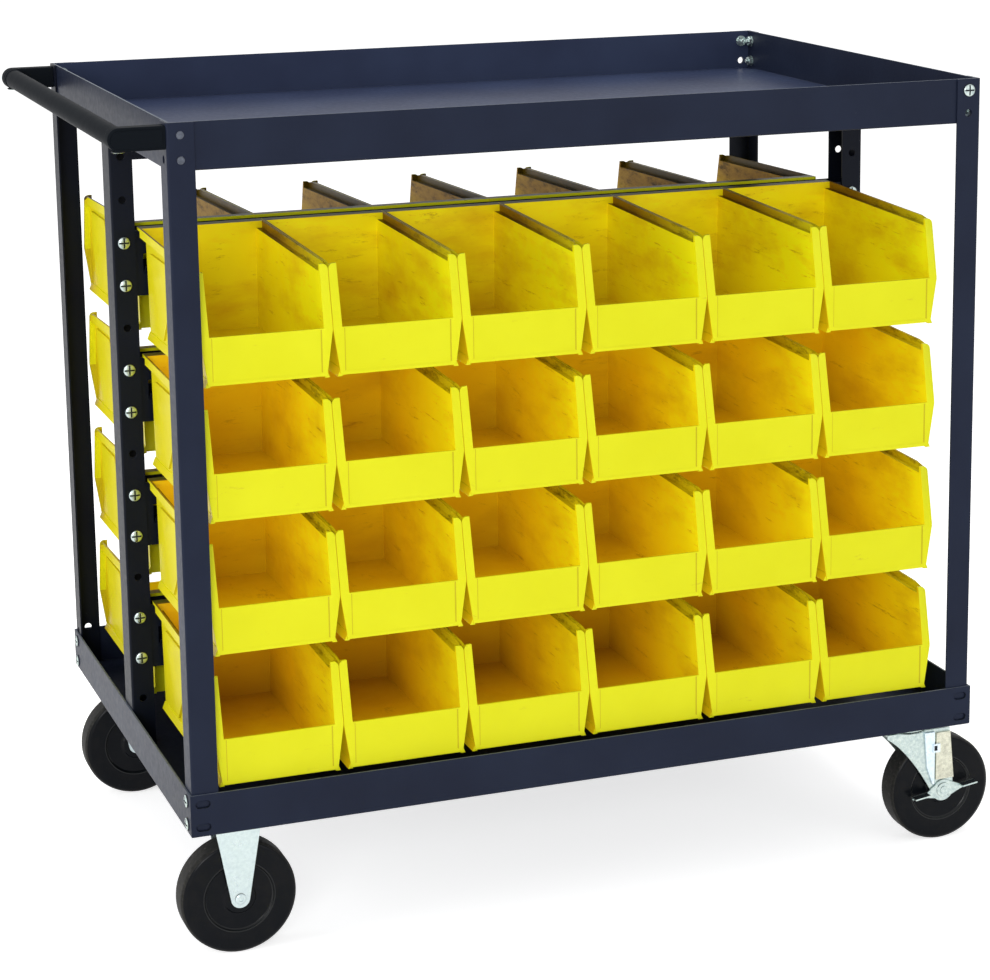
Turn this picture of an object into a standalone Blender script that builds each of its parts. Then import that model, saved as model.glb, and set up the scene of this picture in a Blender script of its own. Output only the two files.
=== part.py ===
"""Mobile bin cart: a bolted steel frame on four casters, with hanging bins on both faces.

Metres, +Z up. +X runs along the cart, away from the push handle, and the bins that face -Y
are the front ones. Sizes below are those of the object's own pieces. Pieces are laid out from
the outer corner of the front left post on the floor, and one empty moves them all, so that
the world origin is on the floor under the middle of the whole cart.
"""

import math

import bmesh
import bpy
from mathutils import Matrix

# Frame
WIDTH = 0.6096  # over the corner posts, along Y
POST_RISE = 0.750  # underside of the lower shelf to the top of the posts
SHEET = 0.002  # thickness of all folded sheet steel
GAP = 0.0003  # between pieces that touch
OVERRUN = 0.004  # by which a cutter or a joined shape passes its face

POST_LEG = 0.0286  # width of each leg of a corner post
HOLE_PITCH = 0.0254  # between the two holes in each end of a leg
HOLE_EDGE = 0.0127  # first hole from the top of a post
HOLE_RADIUS = 0.0042
ROUND_SIDES = 8  # sides of a small hole
FLAT_ANGLE = math.radians(0.05)  # faces closer than this to one plane are made one face

TRAY_LIP = 0.0495
SHELF_FLANGE = 0.0465
SLOT_LENGTH = 0.016
SLOT_RADIUS = 0.0042
SLOT_END = 0.0112  # centre of a slot from the outer face of the post
SLOT_SIDES = 4  # sides of each round end of a slot

# Centre posts and rails
CHANNEL_DEPTH = 0.0381  # along Y
CHANNEL_FLANGE = 0.0257  # along X
RAIL_HOLE_PITCH = 0.047625
ROWS = 4
HOLES_PER_ROW = 3
RAIL_RISE = 0.5961  # underside of the lower shelf to the top edge of the highest rail
RAIL_BORDER = 0.0127  # from each rail bolt to the edge of the rail
RAIL_HEIGHT = RAIL_HOLE_PITCH + 2 * RAIL_BORDER
LOUVRE_REACH = 0.008
LOUVRE_RISE = 0.0105
LOUVRE_BASE = 0.0235  # foot of a louvre above the lower edge of the rail
LOUVRE_SLOT = 0.0235  # height of the slot that a louvre is bent from
LOUVRE_INSET = 0.005  # from the side of a bin to its louvre

STIFFENER_DEPTH = 0.0254
STIFFENER_FLANGE = 0.0127

# Bins
COLUMNS = 6
BIN_WIDTH = 0.1396
BIN_SPACE = 0.0006  # between neighbours
BIN_HEIGHT = 0.124
BIN_START = 0.0290  # left side of the first bin from the outer face of the posts
BIN_END = 0.0448  # the same at the last bin's right side
BIN_WALL = 0.0022
BIN_SETBACK = 0.0095  # back wall from the rail
BIN_FRONT = 0.278  # front lip from the rail
BIN_CORNER_SETBACK = 0.014  # top front corner behind the lip
BIN_FALL = 0.007  # drop of the rim from the rail to the corner
BIN_LIP_HEIGHT = 0.053  # foot of the sloping front edge
PANEL_DROP = 0.0008  # top of the front panel below that foot
TAPER_DROP = 0.003  # from here down the front flanges taper in
BIN_LIFT = 0.0018  # underside of the tub above the skids
BIN_LEDGE = 0.0034  # thickness of the hanging ledge
BIN_LEDGE_BACK = 0.0033  # reach of the ledge behind the face of the rail
BIN_TOP_INSET = 0.0065  # tub side from the outside of the rim, at the top
BIN_FLOOR_INSET = 0.0080  # the same at the floor
RIM_HEIGHT = 0.010
FRONT_FLANGE = 0.003
FRONT_FLANGE_INSET = 0.0070  # bottom of the front flange from the outside of the rim
SKID_HEIGHT = 0.008
SKID_INSET = 0.0038
SKID_TOP_INSET = 0.0070

# Push handle
HANDLE_REACH = 0.046  # centre of the tube from the outer face of the posts
TUBE_RADIUS = 0.011
ARM_HEIGHT = 0.024
ARM_THICKNESS = 0.020
HANDLE_DROP = 0.0028  # top of the arms below the top of the posts
TUBE_SIDES = 14
ARM_SIDES = 8  # sides of an arm's round end

# Casters
WHEEL_RADIUS = 0.0635
WHEEL_WIDTH = 0.032
HUB_WIDTH = 0.035
HUB_RADIUS = 0.017
STEP_RADIUS = 0.039  # ring step in the face of a wheel
STEP_DEPTH = 0.0025
TREAD_CHAMFER = 0.004
WHEEL_SIDES = 28
AXLE_RADIUS = 0.006
AXLE_SIDES = 12
AXLE_HEAD_RADIUS = 0.009
AXLE_HEAD = 0.002
CASTER_END = 0.0555  # centre of a caster's plate from the end of the cart
CASTER_SIDE = 0.0505  # the same from the side
CASTER_SHEET = 0.0025
PLATE_LENGTH = 0.092
PLATE_WIDTH = 0.064
BOLT_SPACING_X = 0.074
BOLT_SPACING_Y = 0.044
NUT_RADIUS = 0.0065
NUT_HEIGHT = 0.0055
NUT_SIDES = 6
LEG_INSIDE = 0.018  # inner face of a leg from the middle of the wheel
LEG_TOP_HALF = 0.026
LEG_FOOT_RADIUS = 0.0105
LEG_FOOT_SIDES = 8
SWIVEL_TRAIL = 0.042  # axle behind the swivel's centre
CROWN_FRONT = 0.031  # crown of the fork ahead of the swivel's centre
CROWN_BACK = 0.050
WHEEL_ROOM = 0.012  # from the wheel's top to the top of the crown
CASTER_HEAD = 0.0134  # from there to the underside of the lower shelf
FORK_FOOT_RADIUS = 0.014
RACE_RADIUS = 0.028
RACE_HEIGHT = 0.0017
KINGPIN_RADIUS = 0.006
KINGPIN_HEAD_RADIUS = 0.010
KINGPIN_HEAD = 0.003
RACE_SIDES = 16
LEVER_HALF = 0.041
LEVER_HUB = 0.0125
LEVER_SHEET = 0.002
LEVER_TIP = 0.004
LEVER_TILT = math.radians(8)
PAD_LENGTH = 0.020
PAD_REACH = 0.011

# Sizes and places worked out from those above
CROWN_LEVEL = 2 * WHEEL_RADIUS + WHEEL_ROOM
SHELF_BASE = CROWN_LEVEL + CASTER_HEAD
RAIL_TOP = SHELF_BASE + RAIL_RISE
BIN_PITCH = BIN_WIDTH + BIN_SPACE
LENGTH = BIN_START + COLUMNS * BIN_PITCH - BIN_SPACE + BIN_END  # over the corner posts, along X
BIN_CORNER_HEIGHT = BIN_HEIGHT - BIN_FALL
BIN_PANEL_HEIGHT = BIN_LIP_HEIGHT - PANEL_DROP
BIN_TAPER_HEIGHT = BIN_LIP_HEIGHT - TAPER_DROP
TOP = SHELF_BASE + POST_RISE
TRAY_FLOOR = TOP - TRAY_LIP
SHELF_FLOOR = SHELF_BASE + SHEET
MIDDLE_Y = WIDTH / 2
CHANNEL_FRONT = MIDDLE_Y - CHANNEL_DEPTH / 2
RAIL_FACE = CHANNEL_FRONT + SHEET + GAP
ROW_PITCH = HOLES_PER_ROW * RAIL_HOLE_PITCH
HANDLE_LEVEL = TOP - HANDLE_DROP - ARM_HEIGHT / 2
SWIVEL_X = LENGTH - CASTER_END
CASTER_YS = {"front": CASTER_SIDE, "rear": WIDTH - CASTER_SIDE}
PLATE_TOP = SHELF_BASE - GAP
CART_LEFT = -HANDLE_REACH - ARM_HEIGHT / 2
CART_RIGHT = max(SWIVEL_X + SWIVEL_TRAIL + WHEEL_RADIUS, LENGTH + GAP + SHEET)


def clear_scene():
    for obj in list(bpy.data.objects):
        bpy.data.objects.remove(obj)


def material(name, colour, roughness, metallic=0.0):
    made = bpy.data.materials.new(name)
    made.use_nodes = True
    shader = made.node_tree.nodes["Principled BSDF"]
    shader.inputs["Base Color"].default_value = (*colour, 1.0)
    shader.inputs["Roughness"].default_value = roughness
    shader.inputs["Metallic"].default_value = metallic
    return made


def piece(name, mesh, finish, origin=(0, 0, 0)):
    """A sub-part. Its mesh is laid out from its origin, and the cart's empty carries it."""
    obj = bpy.data.objects.new(name, mesh)
    obj.location = origin
    obj.parent = CART
    if not mesh.materials:
        mesh.materials.append(finish)
    bpy.context.scene.collection.objects.link(obj)
    return obj


def helper(name, mesh, origin=(0, 0, 0)):
    """A shape that only cuts or joins, so it isn't a sub-part."""
    obj = bpy.data.objects.new(name, mesh)
    obj.location = origin
    obj.parent = CART
    obj.hide_render = True
    obj.display_type = "WIRE"
    bpy.context.scene.collection.objects.link(obj)
    return obj


def combine(obj, operation, *others):
    for other in others:
        change = obj.modifiers.new(operation.lower(), "BOOLEAN")
        change.operation = operation
        change.object = other
    return obj


def settled(obj, name):
    """A plain mesh of obj with its modifiers worked in, flat faces made whole, and obj and its helpers gone."""
    helpers = [change.object for change in obj.modifiers]
    bpy.context.view_layer.update()
    graph = bpy.context.evaluated_depsgraph_get()
    mesh = bpy.data.meshes.new_from_object(obj.evaluated_get(graph))
    mesh.name = name
    for gone in [obj, *helpers]:
        bpy.data.objects.remove(gone)
    shape = bmesh.new()
    shape.from_mesh(mesh)
    bmesh.ops.dissolve_limit(shape, angle_limit=FLAT_ANGLE, verts=shape.verts, edges=shape.edges)
    shape.to_mesh(mesh)
    shape.free()
    return mesh


def mesh_of(name, points, faces, smooth=None):
    mesh = bpy.data.meshes.new(name)
    mesh.from_pydata(points, [], faces)
    shape = bmesh.new()
    shape.from_mesh(mesh)
    bmesh.ops.recalc_face_normals(shape, faces=shape.faces)
    shape.to_mesh(mesh)
    shape.free()
    if smooth:
        mesh.shade_smooth()
        mesh.set_sharp_from_angle(angle=smooth)
    return mesh


def loft(name, first, second, smooth=None, flats=None):
    """A closed solid between two loops with as many points each, and ends in one or more flat faces."""
    count = len(first)
    sides = [(i, (i + 1) % count, count + (i + 1) % count, count + i) for i in range(count)]
    near = flats or [tuple(range(count))]
    far = [tuple(count + i for i in reversed(flat)) for flat in near]
    return mesh_of(name, [*first, *second], [*near, *far, *sides], smooth)


def prism(name, outline, axis, low, high, smooth=None):
    """An outline of (first, second) points run along an axis. X takes (y, z), Y takes (x, z), Z takes (x, y)."""

    def at(point, level):
        place = list(point)
        place.insert("XYZ".index(axis), level)
        return tuple(place)

    return loft(name, [at(p, low) for p in outline], [at(p, high) for p in outline], smooth)


def box(name, low, high):
    outline = [(low[0], low[1]), (high[0], low[1]), (high[0], high[1]), (low[0], high[1])]
    return prism(name, outline, "Z", low[2], high[2])


def joined(name, meshes):
    """Several meshes as one, each still a body of its own."""
    shape = bmesh.new()
    for mesh in meshes:
        shape.from_mesh(mesh)
    result = bpy.data.meshes.new(name)
    shape.to_mesh(result)
    shape.free()
    return result


def arc(centre, radius, start, end, sides):
    """Points on a circle from one angle to another, in degrees."""
    angles = [math.radians(start + (end - start) * i / sides) for i in range(sides + 1)]
    return [(centre[0] + radius * math.cos(a), centre[1] + radius * math.sin(a)) for a in angles]


def circle(centre, radius, sides, flat_down=False):
    """A closed loop, tangent to the radius where a flat side has to lie underneath."""
    reach = radius / math.cos(math.pi / sides) if flat_down else radius
    turn = 180 / sides if flat_down else 0
    return arc(centre, reach, turn, turn + 360, sides)[:-1]


def turned(name, profile, sides, smooth=math.radians(40)):
    """A ring turned about the Y axis from (y, radius) points, with a flat side underneath."""
    loops = []
    for y, radius in profile:
        loops.append([(x, y, z) for x, z in circle((0, 0), radius, sides, flat_down=True)])
    count = len(profile)
    faces = []
    for i in range(count):
        for j in range(sides):
            after, beside = (i + 1) % count, (j + 1) % sides
            faces.append((i * sides + j, i * sides + beside, after * sides + beside, after * sides + j))
    return mesh_of(name, [point for loop in loops for point in loop], faces, smooth)


def open_box(name, low, high, wall):
    """A tray: four upright sides round a floor."""
    outer = [(low[0], low[1]), (high[0], low[1]), (high[0], high[1]), (low[0], high[1])]
    turns = ((1, 1), (-1, 1), (-1, -1), (1, -1))
    inner = [(x + sx * wall, y + sy * wall) for (x, y), (sx, sy) in zip(outer, turns)]
    levels = [(outer, low[2]), (outer, high[2]), (inner, high[2]), (inner, low[2] + wall)]
    points = [(x, y, z) for loop, z in levels for x, y in loop]
    faces = [(3, 2, 1, 0), (12, 13, 14, 15)]
    for level in range(3):
        for i in range(4):
            start, beside = 4 * level + i, 4 * level + (i + 1) % 4
            faces.append((start, beside, beside + 4, start + 4))
    return mesh_of(name, points, faces)


def holes_through(name, places, axis, low, high, radius):
    return joined(name, [prism(name, circle(p, radius, ROUND_SIDES), axis, low, high) for p in places])


def make_trays(steel):
    edge = SHEET + GAP
    low, high = (edge, edge, TRAY_FLOOR), (LENGTH - edge, WIDTH - edge, TOP)
    piece("top_tray", open_box("top_tray", low, high, SHEET), steel)
    low, high = (-edge, -edge, SHELF_BASE), (LENGTH + edge, WIDTH + edge, SHELF_BASE + SHELF_FLANGE)
    shelf = piece("lower_shelf", open_box("lower_shelf", low, high, SHEET), steel)
    half = SLOT_LENGTH / 2 - SLOT_RADIUS
    middle = SHELF_BASE + SHELF_FLANGE / 2
    slots = []
    for x in (SLOT_END, LENGTH - SLOT_END):
        for z in (middle - HOLE_PITCH / 2, middle + HOLE_PITCH / 2):
            ends = arc((x + half, z), SLOT_RADIUS, -90, 90, SLOT_SIDES)
            ends += arc((x - half, z), SLOT_RADIUS, 90, 270, SLOT_SIDES)
            for start, end in ((-edge, 0), (WIDTH, WIDTH + edge)):
                slots.append(prism("slot", ends, "Y", start - OVERRUN, end + OVERRUN / 2))
    combine(shelf, "DIFFERENCE", helper("shelf_slots", joined("shelf_slots", slots)))


def make_stiffener(steel):
    """The folded channel under the tray's floor that its row of bolts holds."""
    low, high = MIDDLE_Y - CHANNEL_DEPTH / 2, MIDDLE_Y + CHANNEL_DEPTH / 2
    roof = TRAY_FLOOR - GAP
    foot = roof - STIFFENER_DEPTH
    outline = [
        (low, foot),
        (low + STIFFENER_FLANGE, foot),
        (low + STIFFENER_FLANGE, foot + SHEET),
        (low + SHEET, foot + SHEET),
        (low + SHEET, roof - SHEET),
        (high - SHEET, roof - SHEET),
        (high - SHEET, foot + SHEET),
        (high - STIFFENER_FLANGE, foot + SHEET),
        (high - STIFFENER_FLANGE, foot),
        (high, foot),
        (high, roof),
        (low, roof),
    ]
    start = CHANNEL_FLANGE + GAP
    piece("tray_stiffener", prism("tray_stiffener", outline, "X", start, LENGTH - start), steel)


def make_corner_posts(steel):
    foot = SHELF_FLOOR + GAP
    levels = (foot + SHELF_FLANGE, TOP - HOLE_EDGE - HOLE_PITCH, TOP - HOLE_EDGE)
    centre = POST_LEG / 2
    for side, flip_y in (("front", False), ("rear", True)):
        for end, flip_x in (("left", False), ("right", True)):

            def place(x, y):
                return (LENGTH - x if flip_x else x, WIDTH - y if flip_y else y)

            outline = [
                place(0, 0),
                place(POST_LEG, 0),
                place(POST_LEG, SHEET),
                place(SHEET, SHEET),
                place(SHEET, POST_LEG),
                place(0, POST_LEG),
            ]
            name = f"corner_post_{side}_{end}"
            post = piece(name, prism(name, outline, "Z", foot, TOP), steel)
            x, y = place(centre, centre)
            face_x, face_y = place(0, 0)
            cutters = [
                holes_through("across", [(x, z) for z in levels], "Y", face_y - OVERRUN, face_y + OVERRUN, HOLE_RADIUS),
                holes_through("along", [(y, z) for z in levels], "X", face_x - OVERRUN, face_x + OVERRUN, HOLE_RADIUS),
            ]
            combine(post, "DIFFERENCE", helper(f"{name}_holes", joined("holes", cutters)))


def make_centre_posts(steel):
    foot, head = SHELF_FLOOR + GAP, TRAY_FLOOR - GAP
    front, back = CHANNEL_FRONT, CHANNEL_FRONT + CHANNEL_DEPTH
    first = RAIL_TOP - RAIL_BORDER + 2 * RAIL_HOLE_PITCH
    count = ROWS * HOLES_PER_ROW + 2
    taken = {k for k in range(2, count) if (k - 2) % HOLES_PER_ROW != HOLES_PER_ROW - 1}
    levels = [first - k * RAIL_HOLE_PITCH for k in range(count) if k not in taken]
    for end in ("left", "right"):

        def place(x):
            return LENGTH - x if end == "right" else x

        outline = [
            (place(0), front),
            (place(CHANNEL_FLANGE), front),
            (place(CHANNEL_FLANGE), front + SHEET),
            (place(SHEET), front + SHEET),
            (place(SHEET), back - SHEET),
            (place(CHANNEL_FLANGE), back - SHEET),
            (place(CHANNEL_FLANGE), back),
            (place(0), back),
        ]
        name = f"centre_post_{end}"
        post = piece(name, prism(name, outline, "Z", foot, head), steel)
        spots = [(place(CHANNEL_FLANGE / 2), z) for z in levels]
        cutter = holes_through("across", spots, "Y", front - OVERRUN, back + OVERRUN, HOLE_RADIUS)
        combine(post, "DIFFERENCE", helper(f"{name}_holes", cutter))


def make_rails(steel):
    """Each rail is a plate with a slot and a bent-out louvre behind every bin."""
    start, end = SHEET + GAP, LENGTH - SHEET - GAP
    plate = box("plate", (start, 0, -RAIL_HEIGHT), (end, SHEET, 0))
    foot = LOUVRE_BASE - RAIL_HEIGHT
    bend = SHEET / 2
    outline = [
        (bend, foot),
        (-LOUVRE_REACH, foot + LOUVRE_RISE - SHEET),
        (-LOUVRE_REACH, foot + LOUVRE_RISE),
        (bend, foot + SHEET),
    ]
    louvres, slots = [], []
    for column in range(COLUMNS):
        left = BIN_START + column * BIN_PITCH + LOUVRE_INSET
        right = left + BIN_WIDTH - 2 * LOUVRE_INSET
        louvres.append(prism("louvre", outline, "X", left + GAP, right - GAP))
        low, high = (left, -OVERRUN, foot + SHEET + GAP), (right, SHEET + OVERRUN, foot + LOUVRE_SLOT)
        slots.append(box("slot", low, high))
    body = helper("rail_body", plate)
    combine(body, "DIFFERENCE", helper("rail_slots", joined("rail_slots", slots)))
    combine(body, "UNION", helper("rail_louvres", joined("rail_louvres", louvres)))
    front_mesh = settled(body, "bin_rail")
    rear_mesh = front_mesh.copy()
    rear_mesh.transform(Matrix.Scale(-1, 4, (0, 1, 0)))
    rear_mesh.flip_normals()
    for row in range(ROWS):
        level = RAIL_TOP - row * ROW_PITCH
        piece(f"bin_rail_front_{row + 1}", front_mesh, steel, (0, RAIL_FACE, level))
        piece(f"bin_rail_rear_{row + 1}", rear_mesh, steel, (0, WIDTH - RAIL_FACE, level))


def bin_mesh():
    """One hopper bin from its left side, the face of its rail and the underside of its skids. It opens to -Y."""
    wall = BIN_WALL
    corner = BIN_FRONT - BIN_CORNER_SETBACK
    slope = (BIN_HEIGHT - BIN_CORNER_HEIGHT) / corner
    lean = BIN_CORNER_SETBACK / (BIN_CORNER_HEIGHT - BIN_LIP_HEIGHT)
    above = BIN_HEIGHT + OVERRUN
    ledge_end = BIN_SETBACK + wall / 2
    inner_back = BIN_SETBACK + wall
    flange_back = BIN_FRONT - FRONT_FLANGE

    def rim(v):
        return BIN_HEIGHT - slope * v

    def tub_side(z):
        return BIN_FLOOR_INSET + (BIN_TOP_INSET - BIN_FLOOR_INSET) * z / BIN_HEIGHT

    def tub_inside(z):
        return tub_side(z) + wall

    def in_wall(z):
        return tub_side(z) + wall / 2

    def in_top_wall(z):
        return BIN_TOP_INSET + wall / 2

    def in_floor_wall(z):
        return BIN_FLOOR_INSET + wall / 2

    def outside(z):
        return 0.0

    def rim_inside(z):
        return wall

    def flange_side(z):
        return FRONT_FLANGE_INSET * max(0.0, BIN_TAPER_HEIGHT - z) / (BIN_TAPER_HEIGHT - BIN_LIFT)

    def skid_side(z):
        return SKID_INSET + (SKID_TOP_INSET - SKID_INSET) * z / SKID_HEIGHT

    def side(profile, reach, flip=False):
        """A profile of (distance from the rail, height) points, reach(height) in from the bin's side."""
        return [(BIN_WIDTH - reach(z) if flip else reach(z), -v, z) for v, z in profile]

    def across(name, profile, reach):
        return helper(name, loft(name, side(profile, reach), side(profile, reach, flip=True)))

    def along(name, profile, outer, inner, flats=None):
        """The same strip on both sides of the bin, from outer(height) into the tub's wall."""
        strips = [
            loft(name, side(profile, outer, flip), side(profile, inner, flip), flats=flats)
            for flip in (False, True)
        ]
        return helper(name, joined(name, strips))

    def block(start, end, low, high):
        return [(start, low), (end, low), (end, high), (start, high)]

    body = across("bin", block(BIN_SETBACK, BIN_FRONT, BIN_LIFT, above), tub_side)
    rims = [
        (BIN_SETBACK, rim(BIN_SETBACK) - RIM_HEIGHT),
        (BIN_FRONT, rim(BIN_FRONT) - RIM_HEIGHT),
        (BIN_FRONT, above),
        (BIN_SETBACK, above),
    ]
    flange = [
        (BIN_FRONT, above),
        (BIN_FRONT, BIN_TAPER_HEIGHT),
        (BIN_FRONT, BIN_LIFT),
        (flange_back, BIN_LIFT),
        (flange_back, BIN_TAPER_HEIGHT),
        (flange_back - lean * (above - BIN_TAPER_HEIGHT), above),
    ]
    skid = block(BIN_SETBACK, BIN_FRONT - FRONT_FLANGE / 2, 0, SKID_HEIGHT)
    ledge = block(-BIN_LEDGE_BACK, ledge_end, BIN_HEIGHT - BIN_LEDGE, above - OVERRUN / 2)
    parts = [
        across("bin_ledge", ledge, outside),
        along("bin_rims", rims, outside, in_top_wall),
        along("bin_flanges", flange, flange_side, in_wall, [(0, 1, 4, 5), (1, 2, 3, 4)]),
        along("bin_skids", skid, skid_side, in_floor_wall),
    ]
    combine(body, "UNION", *parts)
    hollow = [
        (inner_back, BIN_LIFT + wall),
        (BIN_FRONT - wall, BIN_LIFT + wall),
        (BIN_FRONT - wall, BIN_PANEL_HEIGHT),
        (BIN_FRONT + OVERRUN, BIN_PANEL_HEIGHT),
        (BIN_FRONT + OVERRUN, above + OVERRUN),
        (inner_back, above + OVERRUN),
    ]
    step_end = corner - FRONT_FLANGE
    step = [
        (inner_back, rim(inner_back) - RIM_HEIGHT + wall),
        (step_end, rim(step_end) - RIM_HEIGHT + wall),
        (step_end, above + OVERRUN),
        (inner_back, above + OVERRUN),
    ]
    behind = -BIN_LEDGE_BACK - OVERRUN
    trim = [
        (behind, rim(behind)),
        (corner, BIN_CORNER_HEIGHT),
        (BIN_FRONT + lean * OVERRUN, BIN_LIP_HEIGHT - OVERRUN),
        (BIN_FRONT + 2 * OVERRUN, BIN_LIP_HEIGHT - OVERRUN),
        (BIN_FRONT + 2 * OVERRUN, above + 2 * OVERRUN),
        (behind, above + 2 * OVERRUN),
    ]
    beyond = across("bin_trim", trim, lambda z: -OVERRUN)
    combine(body, "DIFFERENCE", beyond, across("bin_hollow", hollow, tub_inside), across("bin_step", step, rim_inside))
    return settled(body, "bin")


def make_bins(plastic):
    """The front bins each on their own, and each rear row joined along its hanging ledge."""
    mesh = bin_mesh()
    for row in range(ROWS):
        base = RAIL_TOP + GAP + BIN_LEDGE - BIN_HEIGHT - row * ROW_PITCH
        for column in range(COLUMNS):
            left = BIN_START + column * BIN_PITCH
            piece(f"bin_front_{row + 1}_{column + 1}", mesh, plastic, (left, RAIL_FACE, base))
    copies = []
    for column in range(COLUMNS):
        copy = mesh.copy()
        copy.transform(Matrix.Translation((BIN_START + column * BIN_PITCH, 0, 0)) @ turned_round())
        copies.append(copy)
    start = BIN_START
    end = BIN_START + COLUMNS * BIN_PITCH - BIN_SPACE
    top = BIN_HEIGHT - BIN_LEDGE / 4
    bar = box("bar", (start + BIN_WALL, -BIN_LEDGE_BACK / 2, BIN_HEIGHT - BIN_LEDGE / 2), (end - BIN_WALL, 0, top))
    row_body = helper("rear_row", joined("rear_row", copies))
    combine(row_body, "UNION", helper("rear_bar", bar))
    row_mesh = settled(row_body, "bin_row")
    for row in range(ROWS):
        base = RAIL_TOP + GAP + BIN_LEDGE - BIN_HEIGHT - row * ROW_PITCH
        piece(f"bin_row_rear_{row + 1}", row_mesh, plastic, (0, WIDTH - RAIL_FACE, base))


def turned_round():
    """Turns a front bin about its own middle, to open to +Y from the same left side."""
    return Matrix.Translation((BIN_WIDTH, 0, 0)) @ Matrix.Rotation(math.pi, 4, "Z")


def make_handle(black):
    """A tube across the end, between two flat arms with round ends that stand against the posts."""
    centre = (-HANDLE_REACH, HANDLE_LEVEL)
    radius = ARM_HEIGHT / 2
    outline = [
        (-GAP, HANDLE_LEVEL - radius),
        (-GAP, HANDLE_LEVEL + radius),
        *arc(centre, radius, 90, 270, ARM_SIDES),
    ]
    arms = []
    for low in (0, WIDTH - ARM_THICKNESS):
        arms.append(helper("handle_arm", prism("arm", outline, "Y", low, low + ARM_THICKNESS)))
    inside = ARM_THICKNESS / 2
    tube = prism("tube", circle(centre, TUBE_RADIUS, TUBE_SIDES), "Y", inside, WIDTH - inside, math.radians(40))
    body = helper("handle", tube)
    combine(body, "UNION", *arms)
    piece("push_handle", settled(body, "push_handle"), black)


def plate_mesh():
    """A caster's mounting plate with its four nuts, from the middle of its top face."""
    nuts = []
    for x in (-BOLT_SPACING_X / 2, BOLT_SPACING_X / 2):
        for y in (-BOLT_SPACING_Y / 2, BOLT_SPACING_Y / 2):
            loop = circle((x, y), NUT_RADIUS, NUT_SIDES)
            nuts.append(prism("nut", loop, "Z", -CASTER_SHEET - NUT_HEIGHT, -CASTER_SHEET / 2))
    half_x, half_y = PLATE_LENGTH / 2, PLATE_WIDTH / 2
    return box("plate", (-half_x, -half_y, -CASTER_SHEET), (half_x, half_y, 0)), joined("nuts", nuts)


def wheel_mesh():
    """A solid moulded wheel about its own axle, with a ring step in each face and a hub boss."""
    half, hub = WHEEL_WIDTH / 2, HUB_WIDTH / 2
    side = [
        (hub, AXLE_RADIUS + GAP),
        (hub, HUB_RADIUS),
        (half - STEP_DEPTH, HUB_RADIUS + STEP_DEPTH),
        (half - STEP_DEPTH, STEP_RADIUS),
        (half, STEP_RADIUS + STEP_DEPTH),
        (half, WHEEL_RADIUS - TREAD_CHAMFER),
        (half - TREAD_CHAMFER, WHEEL_RADIUS),
    ]
    profile = [*side, *[(-y, radius) for y, radius in reversed(side)]]
    return turned("caster_wheel", profile, WHEEL_SIDES)


def both_sides(name, outline, inner, thickness):
    """The same flat leg on each side of a wheel."""
    return joined(name, [
        prism(name, outline, "Y", inner, inner + thickness),
        prism(name, outline, "Y", -inner - thickness, -inner),
    ])


def make_rigid_casters(zinc, black):
    """Two legs folded down from the plate, with the axle rivet closed over them."""
    axle = WHEEL_RADIUS - PLATE_TOP
    inside = -CASTER_SHEET / 2
    outline = [
        (-LEG_TOP_HALF, inside),
        *arc((0, axle), LEG_FOOT_RADIUS, 195, 345, LEG_FOOT_SIDES),
        (LEG_TOP_HALF, inside),
    ]
    outer = LEG_INSIDE + CASTER_SHEET
    loop = circle((0, axle), AXLE_RADIUS, AXLE_SIDES)
    head = circle((0, axle), AXLE_HEAD_RADIUS, AXLE_SIDES)
    rivet = prism("rivet", loop, "Y", -outer, outer)
    heads = joined("heads", [
        prism("head", head, "Y", outer - CASTER_SHEET / 2, outer + AXLE_HEAD),
        prism("head", head, "Y", -outer - AXLE_HEAD, -outer + CASTER_SHEET / 2),
    ])
    plate, nuts = plate_mesh()
    body = helper("bracket", plate)
    legs = helper("legs", both_sides("legs", outline, LEG_INSIDE, CASTER_SHEET))
    combine(body, "UNION", legs, helper("nuts", nuts), helper("rivet", rivet), helper("heads", heads))
    bracket = settled(body, "rigid_bracket")
    wheel = wheel_mesh()
    for side, y in CASTER_YS.items():
        piece(f"rigid_caster_{side}_bracket", bracket, zinc, (CASTER_END, y, PLATE_TOP))
        piece(f"rigid_caster_{side}_wheel", wheel, black, (CASTER_END, y, WHEEL_RADIUS))


def swivel_plate_mesh():
    """The plate with its upper ball race and the kingpin that holds the fork's crown."""
    crown = CROWN_LEVEL - PLATE_TOP
    race_foot = crown + RACE_HEIGHT + GAP
    under = crown - CASTER_SHEET - GAP
    plate, nuts = plate_mesh()
    race = prism("race", circle((0, 0), RACE_RADIUS, RACE_SIDES), "Z", race_foot, -CASTER_SHEET / 2)
    pin_loop = circle((0, 0), KINGPIN_RADIUS, AXLE_SIDES)
    pin = prism("pin", pin_loop, "Z", under - KINGPIN_HEAD / 2, race_foot + RACE_HEIGHT)
    head_loop = circle((0, 0), KINGPIN_HEAD_RADIUS, AXLE_SIDES)
    head = prism("head", head_loop, "Z", under - KINGPIN_HEAD, under)
    body = helper("swivel_plate", plate)
    combine(body, "UNION", helper("nuts", nuts), helper("race", race), helper("pin", pin), helper("head", head))
    return settled(body, "swivel_plate")


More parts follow.
